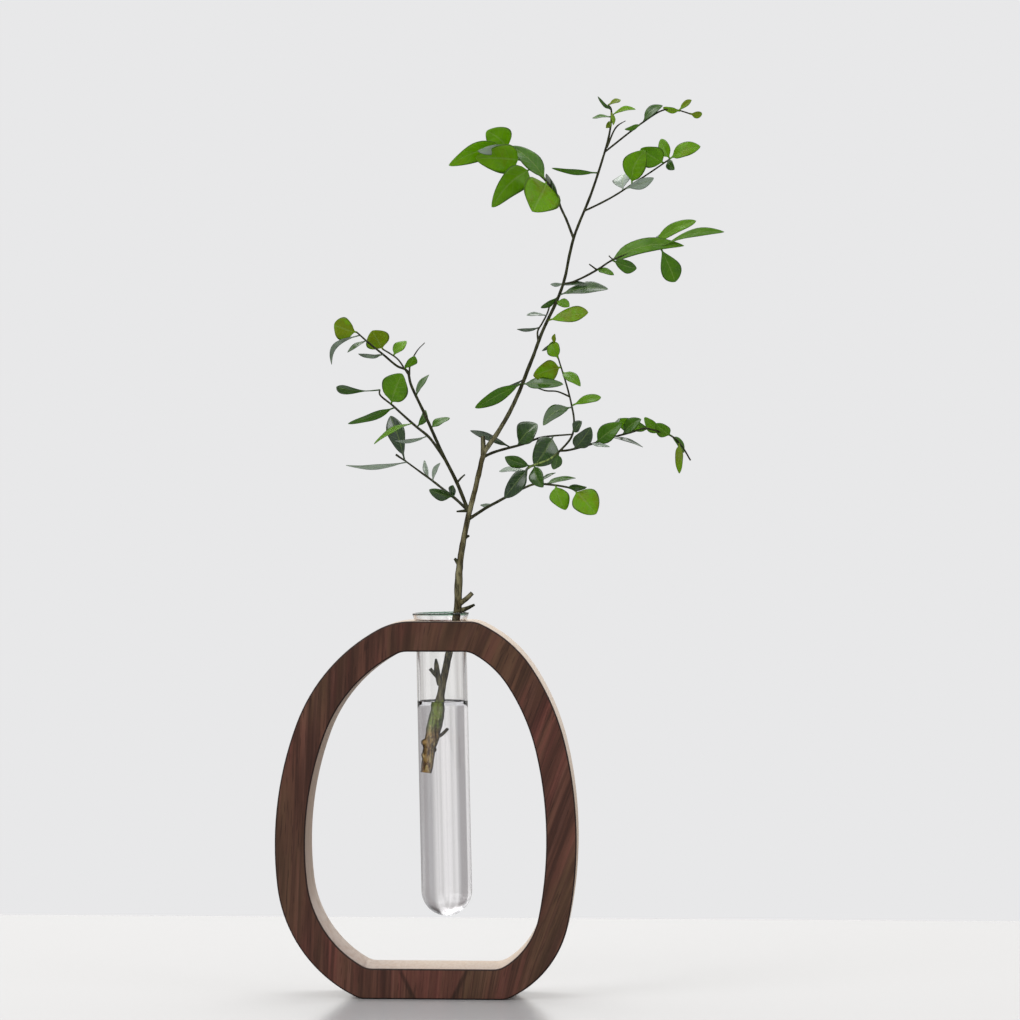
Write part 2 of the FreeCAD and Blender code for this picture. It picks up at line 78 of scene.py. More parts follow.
# %% Node helpers
class Value:
    """An output socket with arithmetic. Each sign adds one Math node to its tree."""

    def __init__(self, socket):
        self.socket = socket
        self.tree = socket.id_data

    def __add__(self, other):
        return step("ADD", self, other)

    def __sub__(self, other):
        return step("SUBTRACT", self, other)

    def __mul__(self, other):
        return step("MULTIPLY", self, other)

    def __truediv__(self, other):
        return step("DIVIDE", self, other)

    def __rtruediv__(self, other):
        return step("DIVIDE", other, self)

    def __abs__(self):
        return step("ABSOLUTE", self)


def fill(made, *values, **named):
    """Fills a node's sockets in order or by name, with _ for a space. A Value is joined to its socket."""
    sockets = [s for s in made.inputs if s.enabled]
    pairs = list(zip(sockets, values))
    for name, value in named.items():
        pairs.append((next(s for s in sockets if s.name == name.replace("_", " ")), value))
    for socket, value in pairs:
        if isinstance(value, Value):
            made.id_data.links.new(value.socket, socket)
        else:
            socket.default_value = value
    return made


def add(tree, kind, *values, **named):
    """Adds a node. A name is a setting of the node, or else a socket."""
    made = tree.nodes.new(kind)
    for name in [n for n in named if hasattr(made, n)]:
        setattr(made, name, named.pop(name))
    return fill(made, *values, **named)


def result(tree, kind, *values, output=None, **named):
    """Adds a node and gives its output with this name, or its first one."""
    made = add(tree, kind, *values, **named)
    return Value(next(s for s in made.outputs if s.enabled and output in (None, s.name)))


def step(operation, *values, kind="ShaderNodeMath"):
    """One step of arithmetic on values and numbers."""
    tree = next(v.tree for v in values if isinstance(v, Value))
    return result(tree, kind, *values, operation=operation)


def vector_step(operation, *values):
    """One step of arithmetic on places."""
    return step(operation, *values, kind="ShaderNodeVectorMath")


def spread(value, low, high, to_low=0.0, to_high=1.0):
    """Maps a value softly from one range to another, held at the ends."""
    return result(value.tree, "ShaderNodeMapRange", value, low, high, to_low, to_high,
                  interpolation_type="SMOOTHSTEP")


def mixed(mask, first, second):
    """Two colours mixed by a mask."""
    return result(mask.tree, "ShaderNodeMix", mask, first, second, data_type="RGBA")


def layered(colour, *layers):
    """A colour with others laid over it in turn, each by its own mask."""
    for mask, over in layers:
        colour = mixed(mask, colour, over)
    return colour


def attribute(tree, name):
    """A number that is stored on the mesh."""
    return result(tree, "ShaderNodeAttribute", attribute_name=name, output="Fac")


def facing(tree):
    """How far a surface is turned away from sight, from 0 to 1."""
    return result(tree, "ShaderNodeLayerWeight", output="Facing")


def coordinates(tree, kind="Object"):
    """The three numbers of a place, in the object's own metres unless another kind is named."""
    place = result(tree, "ShaderNodeTexCoord", output=kind)
    return [Value(s) for s in add(tree, "ShaderNodeSeparateXYZ", place).outputs]


def bumped(height, strength, distance):
    """Normals tilted by a height."""
    return result(height.tree, "ShaderNodeBump", Height=height, Strength=strength, Distance=distance)


def new_material(name):
    """An empty material with its tree and Principled shader."""
    material = bpy.data.materials.new(name)
    material.use_nodes = True
    tree = material.node_tree
    tree.nodes.clear()
    shader = add(tree, "ShaderNodeBsdfPrincipled")
    add(tree, "ShaderNodeOutputMaterial", Value(shader.outputs["BSDF"]))
    return material, tree, shader


def new_group(name, tree_kind, inputs, output):
    """A node group, with its inputs as values by their names, and its output node."""
    group = bpy.data.node_groups.new(name, tree_kind)
    for label, kind, value in inputs:
        socket = group.interface.new_socket(label, in_out="INPUT", socket_type="NodeSocket" + kind)
        if value is not None:
            socket.default_value = value
    label, kind = output
    group.interface.new_socket(label, in_out="OUTPUT", socket_type="NodeSocket" + kind)
    given = {s.name: Value(s) for s in add(group, "NodeGroupInput").outputs}
    return group, given, add(group, "NodeGroupOutput")


def rgb(red, green, blue):
    """A colour as a screen shows it, 0 to 255, as the linear colour that a shader needs."""
    linear = []
    for value in (red, green, blue):
        share = value / 255
        linear.append(share / 12.92 if share <= 0.04045 else ((share + 0.055) / 1.055) ** 2.4)
    return (*linear, 1.0)


print("node helpers ready")

# %% [markdown]
# ## Streaks that several materials share
# Wood fibres, bark cracks and leaf mottling are all noise drawn out along one direction. One node group
# makes that mask, and each material places it with its own size and contrast.

# %% Shared streak group
def make_streak_group():
    """Noise from a vector that the material has already stretched, as a mask with set contrast."""
    group, given, end = new_group("streaks", "ShaderNodeTree", [
        ("Vector", "Vector", None), ("Detail", "Float", 4.0), ("Distortion", "Float", 0.0),
        ("Low", "Float", 0.35), ("High", "Float", 0.65)], ("Mask", "Float"))
    cloud = result(group, "ShaderNodeTexNoise", Vector=given["Vector"], Scale=1.0, Detail=given["Detail"],
                   Distortion=given["Distortion"])
    fill(end, spread(cloud, given["Low"], given["High"]))
    return group


STREAKS = make_streak_group()


def streaks(place, scale, low, high, detail=4.0, distortion=0.0):
    """The streak mask of a place, by how many streaks there are in a metre along each axis."""
    scaled = result(place.tree, "ShaderNodeMapping", Vector=place, Scale=scale)
    return result(place.tree, "ShaderNodeGroup", node_tree=STREAKS, Vector=scaled, Detail=detail,
                  Distortion=distortion, Low=low, High=high)


print("streak group has", len(STREAKS.nodes), "nodes")

# %% [markdown]
# ## Walnut
# Walnut is brown with darker rings and a fine upright fibre. A board is a slice through a tree, so its
# rings are best drawn as distances from an upright heart line that stands beside the board. The fibre is
# upright at the left and slants at the right, as in the photograph, and one pointed arch of plainer wood,
# which joiners call a cathedral, stands in the bottom rail.

# %% Walnut material
WALNUT_DARK = rgb(42, 24, 18)
WALNUT_MID = rgb(104, 67, 54)
WALNUT_RED = rgb(120, 69, 60)
WALNUT_OLIVE = rgb(98, 75, 54)
WALNUT_PALE = rgb(128, 86, 74)
# Painted shade: the near-black colour of the rounded edges.
WALNUT_EDGE_SHADE = rgb(24, 13, 9)
# Painted sheen: the pale warm colour of the faces where they are seen at a glancing angle.
WALNUT_PAINTED_SHEEN = rgb(210, 188, 162)
HEART_PLACE = (0.150, 0.070, 0.0)
RING_PITCH = 0.0078
RING_BEND = (0.040, 0.040, 0.0)
RING_BEND_SCALE = (26.0, 26.0, 6.0)
LEFT_LEAN = 0.04
RIGHT_LEAN = 0.38
LEAN_FROM = -0.03
LEAN_TO = 0.05
LEAN_PIVOT = 0.12
GRAIN_DEPTH = 0.15
FACE_PLACE = 0.016
EDGE_WIDTH = 0.0009
FLAME_MIDDLE = -0.0025
FLAME_HALF = 0.0093
FLAME_SLOPE = 0.5
FLAME_TOP = 0.024
FLAME_LINE = 0.3 * MM
FLAME_FADE = 1.8 * MM
FLAME_DEPTH = 2 * MM
# Painted shade: the painted sheen is weaker to the left, which darkens the inner left wall.
PAINTED_SHEEN_LEFT = -0.046
PAINTED_SHEEN_RIGHT = -0.004


def grain(place, across, along_it, low, high, deep=GRAIN_DEPTH, **values):
    """Streaks along the fibre, by their number in a metre across and along it, and its share in depth."""
    return streaks(place, (across, across * deep, along_it), low, high, **values)


def walnut_ring(place):
    """Mask of the dark late wood of each ring, by the distance from the heart line, bent by slow noise."""
    slow = result(place.tree, "ShaderNodeMapping", Vector=place, Scale=RING_BEND_SCALE)
    bend = result(place.tree, "ShaderNodeTexNoise", Vector=slow, Scale=1.0, Detail=3.0, output="Color")
    away = vector_step("SUBTRACT", vector_step("MULTIPLY_ADD", bend, RING_BEND, place), HEART_PLACE)
    flat = vector_step("MULTIPLY", away, (1.0, 1.0, 0.0))
    saw = step("FRACT", vector_step("LENGTH", flat) / RING_PITCH)
    return spread(saw, 0.30, 0.95) * spread(saw, 0.95, 1.0, 1.0, 0.0)


def walnut_flame(x, z):
    """Masks of one pointed arch low in the bottom rail: its dark line, and the plain wood inside it."""
    arch = z * -FLAME_SLOPE + abs(x - FLAME_MIDDLE)
    low = spread(z, FLAME_TOP / 2, FLAME_TOP, 1.0, 0.0)
    line = spread(abs(arch - FLAME_HALF), FLAME_LINE, FLAME_FADE, 1.0, 0.0) * low
    inside = spread(arch, FLAME_HALF - FLAME_DEPTH, FLAME_HALF, 1.0, 0.0) * low
    return line, inside


def walnut_side(place):
    """Colour of the sawn walls, where the year rings show as fine layers that follow the outline."""
    layers = grain(place, 30.0, 12.0, 0.40, 0.62, deep=24.0)
    patches = grain(place, 16.0, 8.0, 0.42, 0.62, deep=9.0, detail=2.0)
    return layered(WALNUT_MID, (patches * 0.35, WALNUT_RED), (layers * 0.60, WALNUT_DARK))


def make_walnut():
    """Rings, fibres, pores and slow colour change, with painted shade at the rounded edges and a painted pale
    sheen in glancing light.
    """
    material, tree, shader = new_material("walnut_oiled")
    x, y, z = coordinates(tree)
    lean = spread(x, LEAN_FROM, LEAN_TO, LEFT_LEAN, RIGHT_LEAN)
    place = result(tree, "ShaderNodeCombineXYZ", x - lean * (z - LEAN_PIVOT), y, z)
    cloud = grain(place, 34.0, 13.0, 0.40, 0.60, detail=2.0)
    broad = grain(place, 115.0, 10.0, 0.37, 0.68, detail=3.0, distortion=0.4)
    red = grain(place, 190.0, 12.0, 0.44, 0.70, detail=3.0)
    fibre = grain(place, 520.0, 15.0, 0.39, 0.68, deep=0.30)
    pale = grain(place, 520.0, 18.0, 0.52, 0.68, detail=3.0)
    pores = grain(place, 1300.0, 90.0, 0.60, 0.70, deep=1.0, detail=1.0)
    line, inside = walnut_flame(x, z)
    face = layered(WALNUT_MID,
                   (cloud * 0.70, WALNUT_OLIVE), (red * (cloud * -0.60 + 0.85), WALNUT_RED),
                   (broad * 0.56, WALNUT_DARK), (pale * 0.30, WALNUT_PALE),
                   (walnut_ring(place) * 0.10, WALNUT_DARK), (fibre * 0.58, WALNUT_DARK),
                   (inside * 0.35, WALNUT_RED), (line * 0.60, WALNUT_DARK))
    # Painted shade: a near-black band where the faces round over at their front and back edges.
    rising = spread(abs(y), FACE_PLACE - EDGE_WIDTH, FACE_PLACE - EDGE_WIDTH / 2)
    sides = spread(abs(y), FACE_PLACE - EDGE_WIDTH / 30, FACE_PLACE - EDGE_WIDTH / 200, 1.0, 0.0)
    edge = rising * sides
    # Painted sheen: pale colour mixed in where the surface turns away from sight. It is less on the rounded
    # edges and weaker to the left.
    painted_sheen = spread(facing(tree), 0.62, 0.96) * (edge * -0.70 + 0.70)
    painted_sheen = painted_sheen * spread(x, PAINTED_SHEEN_LEFT, PAINTED_SHEEN_RIGHT, 0.62, 1.0)
    colour = layered(face, (sides, walnut_side(place)), (pores * 0.50, WALNUT_DARK),
                     (edge * 0.92, WALNUT_EDGE_SHADE), (painted_sheen, WALNUT_PAINTED_SHEEN))
    height = pores * -0.6 + fibre * -0.25
    fill(shader, Base_Color=colour, Roughness=edge * 0.25 + (fibre * 0.10 + 0.30),
         Specular_IOR_Level=0.20, Normal=bumped(height, 0.18, 0.2 * MM))
    return material


WALNUT = make_walnut()
print("walnut material has", len(WALNUT.node_tree.nodes), "nodes")

# %% [markdown]
# ## The board
# The construction model's board already has the right outline, window, hole and rounded edges. Its mesh is
# loose triangles, which shade flat, so a merged copy stands in for it, smooth along its curves and sharp at
# its corners.

# %% Board
SMOOTH_ANGLE = math.radians(24)
MERGE_REACH = 0.005 * MM


def link(name, data, material=None):
    """A new object at the origin, with a material if one is named."""
    if material:
        data.materials.append(material)
    piece = bpy.data.objects.new(name, data)
    bpy.context.scene.collection.objects.link(piece)
    return piece


def keep_shape(name, shape, material):
    """A new object from a built shape, which is then let go."""
    mesh = bpy.data.meshes.new(name)
    shape.to_mesh(mesh)
    shape.free()
    return link(name, mesh, material)


def finish_piece(piece, body, node):
    """Lets a piece ride on its body and hides the node that it stands for."""
    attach(piece, body)
    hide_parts(node)
    return piece


def make_board():
    """The board's surface with its triangles joined and its gentle edges smooth."""
    shape = bmesh.new()
    shape.from_mesh(frame["nodes"]["board_frame"].data)
    bmesh.ops.remove_doubles(shape, verts=shape.verts, dist=MERGE_REACH)
    for face in shape.faces:
        face.smooth = True
        face.material_index = 0
    for edge in shape.edges:
        edge.smooth = edge.is_manifold and edge.calc_face_angle() < SMOOTH_ANGLE
    return keep_shape("walnut_board", shape, WALNUT)


board = finish_piece(make_board(), "board", "board_frame")
print("board has", len(board.data.polygons), "faces")

# %% [markdown]
# ## Where the tube hangs
# The tube leans in its hole by just over a degree. Its rim point and lean are read off the construction
# model: the tube's mount gives the middle of the rim and the way out of it.

# %% Tube place
mount = next(m for m in frame["record"]["mounts"] if m["name"] == "tube_mouth")
RIM_MIDDLE = Vector(mount["pos_m"])
TUBE_UP = Vector(mount["axis"]).normalized()
TUBE_ACROSS = Vector((TUBE_UP.z, 0.0, -TUBE_UP.x))
TUBE_TURN = Matrix((TUBE_ACROSS, (0.0, 1.0, 0.0), TUBE_UP)).transposed().to_4x4()
TUBE_MATRIX = Matrix.Translation(RIM_MIDDLE) @ TUBE_TURN
TUBE_LENGTH = 0.150
TUBE_RADIUS = 0.0125
TUBE_WALL = 0.0012
TUBE_FLOOR = TUBE_RADIUS - TUBE_LENGTH
INNER_RADIUS = TUBE_RADIUS - TUBE_WALL
RIM_FLARE = 0.0015
FLARE_RUN = 0.0052
print("rim stands", round(RIM_MIDDLE.z / MM, 1), "mm over the table")

# %% [markdown]
# ## Glass and water
# Clear things are told by their edges: light that passes near the side of a round tube is bent far off, so
# the sides show dark lines. That only works with true walls, so the tube has an inner and an outer skin,
# and the water reaches a hair into the glass, which leaves no film of air between them.

# %% Glass and water materials
GLASS_BENDS = 1.47
WATER_BENDS = 1.333
GLASS_COLOUR = rgb(254, 254, 254)
# Painted light: the rim's green tint stands in for the dark green line that light running inside the rim
# shows.
RIM_PAINTED_TINT = rgb(78, 122, 98)
RIM_GREEN_FROM = 1.6 * MM
RIM_GREEN_FULL = 0.6 * MM
WATER_COLOUR = rgb(252, 251, 253)


def make_clear(name, colour, ior):
    """A clear material and its tree and shader."""
    material, tree, shader = new_material(name)
    fill(shader, Base_Color=colour, Roughness=0.0, IOR=ior, Transmission_Weight=1.0)
    return material, tree, shader


def make_glass():
    """Clear glass with a green tint painted at the rim, standing in for the darker green that light shows
    there as it runs a long way inside the glass.
    """
    material, tree, shader = make_clear("tube_glass_clear", GLASS_COLOUR, GLASS_BENDS)
    near = spread(coordinates(tree)[2], RIM_MIDDLE.z - RIM_GREEN_FROM, RIM_MIDDLE.z - RIM_GREEN_FULL)
    fill(shader, Base_Color=mixed(near, GLASS_COLOUR, RIM_PAINTED_TINT))
    return material


GLASS = make_glass()
WATER = make_clear("water_clear", WATER_COLOUR, WATER_BENDS)[0]
print("glass bends light by", GLASS_BENDS, "and water by", WATER_BENDS)

# %% [markdown]
# A blown tube is a profile turned about its axis, as on a lathe. `lathe` turns a list of radius and height
# pairs and closes both poles with a fan, so the skin has no hole. Many sides keep the bent view through it
# smooth.

# %% Lathe helper
def lathe(profile, sides, place):
    """Turns a profile that starts and ends on the axis into a closed skin, then puts it in its place."""
    shape = bmesh.new()
    rings = []
    for radius, height in profile[1:-1]:
        ring = []
        for n in range(sides):
            angle = math.tau * n / sides
            ring.append(shape.verts.new((radius * math.cos(angle), radius * math.sin(angle), height)))
        rings.append(ring)
    first = shape.verts.new((0, 0, profile[0][1]))
    last = shape.verts.new((0, 0, profile[-1][1]))
    for n in range(sides):
        after = (n + 1) % sides
        shape.faces.new((first, rings[0][after], rings[0][n]))
        shape.faces.new((last, rings[-1][n], rings[-1][after]))
        for low, high in zip(rings[:-1], rings[1:]):
            shape.faces.new((low[n], low[after], high[after], high[n]))
    for face in shape.faces:
        face.smooth = True
    bmesh.ops.recalc_face_normals(shape, faces=shape.faces)
    bmesh.ops.transform(shape, matrix=place, verts=shape.verts)
    return shape


def eased(points, steps):
    """More points between those of a list, on a smooth curve through them."""
    smooth = []
    for n in range(len(points) - 1):
        before = Vector(points[max(n - 1, 0)])
        here, there = Vector(points[n]), Vector(points[n + 1])
        after = Vector(points[min(n + 2, len(points) - 1)])
        for k in range(steps):
            t = k / steps
            a = (2 * here) + (there - before) * t
            b = (2 * before - 5 * here + 4 * there - after) * t * t
            c = (3 * here - before - 3 * there + after) * t * t * t
            smooth.append(tuple((a + b + c) / 2))
    smooth.append(tuple(points[-1]))
    return smooth


print("lathe ready")

# %% Glass tube
TUBE_SIDES = 128
BOWL_STEPS = 18
WALL_STEPS = 24
FLARE_STEPS = 3
BEND_OUT = 0.40
BEND_DOWN = 0.62


def bowl(radius):
    """Points of a round bottom from its pole up to the straight wall."""
    angles = [math.radians(90) * n / BOWL_STEPS for n in range(BOWL_STEPS + 1)]
    return [(radius * math.sin(angle), TUBE_FLOOR - radius * math.cos(angle)) for angle in angles]


def wall_points(radius, low, high):
    """A straight wall in even steps, so that smooth shading doesn't stretch over it."""
    return [(radius, low + (high - low) * n / WALL_STEPS) for n in range(1, WALL_STEPS)]


def make_tube():
    """Outer skin up, round the flared rim, and down the inner skin to its own pole."""
    rim = TUBE_RADIUS + RIM_FLARE
    lip = TUBE_WALL / 2
    flare = [(TUBE_RADIUS, -FLARE_RUN), (TUBE_RADIUS + RIM_FLARE * BEND_OUT, -FLARE_RUN * BEND_DOWN),
             (rim, -lip), (rim - lip * 0.35, -lip * 0.2), (rim - lip, 0.0),
             (rim - TUBE_WALL + lip * 0.3, -lip * 0.3), (rim - TUBE_WALL - lip * 0.2, -lip * 1.4),
             (INNER_RADIUS + RIM_FLARE * BEND_OUT, -FLARE_RUN * BEND_DOWN), (INNER_RADIUS, -FLARE_RUN)]
    profile = bowl(TUBE_RADIUS) + wall_points(TUBE_RADIUS, TUBE_FLOOR, -FLARE_RUN) + eased(flare, FLARE_STEPS)
    profile += wall_points(INNER_RADIUS, -FLARE_RUN, TUBE_FLOOR) + bowl(INNER_RADIUS)[::-1]
    return keep_shape("test_tube_glass", lathe(profile, TUBE_SIDES, TUBE_MATRIX), GLASS)


tube = finish_piece(make_tube(), "tube", "test_tube")
tube.visible_shadow = False
print("glass tube has", len(tube.data.polygons), "faces")

# %% [markdown]
# Water climbs the glass in a small curved rim, the meniscus, which shows as a dark line with a light one
# beside it. The surface itself stays level although the tube leans, so its points are dropped back to one
# height.

# %% Water
WATER_DROP = 0.0441
WATER_REACH = 0.0001
MENISCUS = 0.0005
MENISCUS_STEPS = 8
MENISCUS_WIDTH = 1.6
MENISCUS_CURVE = 2.2
TOP_RINGS = (0.6, 0.4, 0.2, 0.0)


def make_water():
    """The water's skin: the tube's inside, a curved rim and a level top."""
    radius = INNER_RADIUS + WATER_REACH
    top = -WATER_DROP
    profile = bowl(radius) + wall_points(radius, TUBE_FLOOR, top + MENISCUS)
    for n in range(MENISCUS_STEPS + 1):
        share = n / MENISCUS_STEPS
        height = MENISCUS * (1 - share) ** MENISCUS_CURVE
        profile.append((radius - MENISCUS_WIDTH * MENISCUS * share, top + height))
    profile += [(radius * share, top) for share in TOP_RINGS]
    shape = lathe(profile, TUBE_SIDES, TUBE_MATRIX)
    level = (TUBE_MATRIX @ Vector((0, 0, top))).z
    for vert in shape.verts:
        local = TUBE_MATRIX.inverted() @ vert.co
        if local.z > top - MENISCUS / 8:
            vert.co.z = level + (local.z - top)
    return keep_shape("water_fill", shape, WATER)


water = finish_piece(make_water(), "tube", "water")
water.visible_shadow = False
print("water stands", round((TUBE_LENGTH - WATER_DROP - TUBE_WALL) / MM, 1), "mm deep")

# %% [markdown]
# ## The sprig's plan
# A sprig is a set of limbs with leaves on them. Each route is a short list of places read off the
# photograph, as shares of the sprig's height over the rim, the same list as in the construction model. A
# leaf is a row: its place along the twig, the reach of its tip, its width, its turn, its widest place, how
# far it sways sideways, and its tone from 0, old and dark, to 1, young and yellow. The tone is partly
# painted light, higher for leaves that glow against the light and lower for leaves in shade, and a tone
# below 0 is a painted pale glare.

# %% Sprig sizes and stem route
SPRIG_HEIGHT = 0.250
STEM_RADIUS = 0.0020
STEM_DIP = 0.079
STEM_CLEARANCE = 0.0005
STEM_ROOM = INNER_RADIUS - STEM_RADIUS - STEM_CLEARANCE

DIPPED_STEM_SHARES = [(-0.79, 1.0), (-0.58, 0.84), (-0.27, 0.65), (-0.05, 0.49), (0.39, 0.27), (0.94, 0.0)]

DIPPED_SWELLING = [1.12, 1.22, 1.42, 0.95, 0.93, 0.98]

STEM_SHARES = [
    (0.002, 0.0, 0.053, 0.96),
    (0.006, 0.0, 0.103, 0.80),
    (0.018, -0.002, 0.172, 0.72),
    (0.032, -0.004, 0.228, 0.66),
    (0.044, -0.006, 0.277, 0.64),
    (0.055, -0.008, 0.317, 0.62),
    (0.081, -0.006, 0.356, 0.56),
    (0.113, 0.0, 0.414, 0.50),
    (0.147, 0.010, 0.499, 0.46),
    (0.168, 0.016, 0.556, 0.42),
    (0.196, 0.020, 0.616, 0.40),
    (0.212, 0.020, 0.661, 0.38),
    (0.230, 0.016, 0.741, 0.36),
    (0.265, 0.008, 0.828, 0.32),
    (0.293, 0.0, 0.913, 0.28),
    (0.303, -0.004, 0.956, 0.25),
    (0.305, -0.008, 0.990, 0.22),
    (0.299, -0.010, 1.0, 0.16),
]


def tube_point(across, drop):
    """A point inside the tube, across its axis and down from its rim."""
    return TUBE_MATRIX @ Vector((across, 0.0, -drop))


def dipped(shares):
    """Points of the stem or of a stub inside the tube from their shares."""
    return [tube_point(across * STEM_ROOM, down * STEM_DIP) for across, down in shares]


STEM_AT_RIM = tube_point(DIPPED_STEM_SHARES[-1][0] * STEM_ROOM, 0.0)


def placed(across, away, up):
    """A point of the sprig over the rim from its shares."""
    return STEM_AT_RIM + Vector((across, away, up)) * SPRIG_HEIGHT


print("stem passes the rim", round(STEM_AT_RIM.x / MM, 1), "mm right of the hole's axis")

# %% Twig routes
TWIG_SHARES = {
    "left_high": (0.48, 0.21, [
        (0.022, -0.002, 0.200), (0.000, -0.008, 0.256), (-0.026, -0.020, 0.309), (-0.040, -0.028, 0.341),
        (-0.063, -0.040, 0.394), (-0.087, -0.048, 0.446), (-0.095, -0.052, 0.475), (-0.115, -0.060, 0.485),
        (-0.141, -0.072, 0.507), (-0.168, -0.084, 0.529), (-0.190, -0.096, 0.549),
    ]),
    "left_side": (0.25, 0.20, [
        (-0.094, -0.052, 0.470), (-0.102, -0.050, 0.482), (-0.117, -0.040, 0.501), (-0.145, -0.028, 0.519),
    ]),
    "left_back": (0.38, 0.21, [
        (-0.022, -0.018, 0.300), (-0.053, -0.004, 0.343), (-0.083, 0.008, 0.368), (-0.113, 0.020, 0.394),
        (-0.131, 0.032, 0.410), (-0.156, 0.040, 0.430), (-0.158, 0.044, 0.442),
    ]),
    "left_low": (0.40, 0.22, [
        (0.024, -0.003, 0.198), (-0.002, 0.016, 0.222), (-0.026, 0.032, 0.240), (-0.051, 0.048, 0.259),
        (-0.075, 0.056, 0.276), (-0.110, 0.068, 0.301),
    ]),
    "right_low": (0.42, 0.21, [
        (0.020, -0.002, 0.182), (0.055, -0.020, 0.204), (0.089, -0.040, 0.222), (0.133, -0.064, 0.244),
        (0.164, -0.080, 0.253), (0.218, -0.104, 0.247), (0.236, -0.108, 0.240),
    ]),
    "right_mid": (0.35, 0.19, [
        (0.133, -0.064, 0.244), (0.139, -0.072, 0.269), (0.145, -0.074, 0.285), (0.184, -0.060, 0.301),
        (0.210, -0.048, 0.323), (0.228, -0.036, 0.347), (0.232, -0.024, 0.376), (0.226, -0.012, 0.412),
        (0.216, 0.0, 0.450), (0.200, 0.012, 0.501), (0.190, 0.016, 0.536),
    ]),
    "right_inner": (0.40, 0.21, [
        (0.053, -0.008, 0.307), (0.069, 0.0, 0.315), (0.093, 0.016, 0.323), (0.129, 0.032, 0.333),
        (0.160, 0.038, 0.345), (0.184, 0.036, 0.349), (0.226, 0.028, 0.352),
    ]),
    "right_droop": (0.30, 0.20, [
        (0.204, -0.050, 0.318), (0.224, -0.040, 0.320), (0.263, -0.016, 0.331), (0.305, 0.008, 0.345),
        (0.343, 0.032, 0.356), (0.370, 0.048, 0.364), (0.398, 0.060, 0.358), (0.424, 0.068, 0.349),
        (0.444, 0.072, 0.329), (0.461, 0.076, 0.301),
    ]),
    "upper_side": (0.25, 0.20, [
        (0.160, 0.014, 0.533), (0.158, 0.026, 0.556), (0.166, 0.034, 0.572), (0.176, 0.042, 0.592),
        (0.182, 0.046, 0.612),
    ]),
    "upper_right": (0.30, 0.20, [
        (0.208, 0.020, 0.650), (0.226, 0.008, 0.652), (0.255, -0.016, 0.663), (0.283, -0.036, 0.677),
        (0.305, -0.050, 0.690), (0.335, -0.062, 0.701), (0.370, -0.070, 0.709), (0.408, -0.078, 0.717),
    ]),
    "top_left": (0.33, 0.22, [
        (0.230, 0.016, 0.739), (0.216, 0.028, 0.776), (0.204, 0.036, 0.802), (0.194, 0.044, 0.830),
        (0.168, 0.052, 0.863), (0.133, 0.060, 0.893), (0.095, 0.064, 0.925),
    ]),
    "crown_low": (0.26, 0.20, [
        (0.252, 0.011, 0.794), (0.283, 0.024, 0.810), (0.313, 0.040, 0.828), (0.349, 0.056, 0.853),
        (0.378, 0.068, 0.873), (0.420, 0.080, 0.903),
    ]),
    "crown_high": (0.25, 0.18, [
        (0.292, 0.0, 0.909), (0.339, -0.024, 0.943), (0.370, -0.040, 0.964), (0.402, -0.056, 0.982),
        (0.428, -0.068, 0.984), (0.459, -0.080, 0.974),
    ]),
}
print("routes for", len(TWIG_SHARES), "twigs")

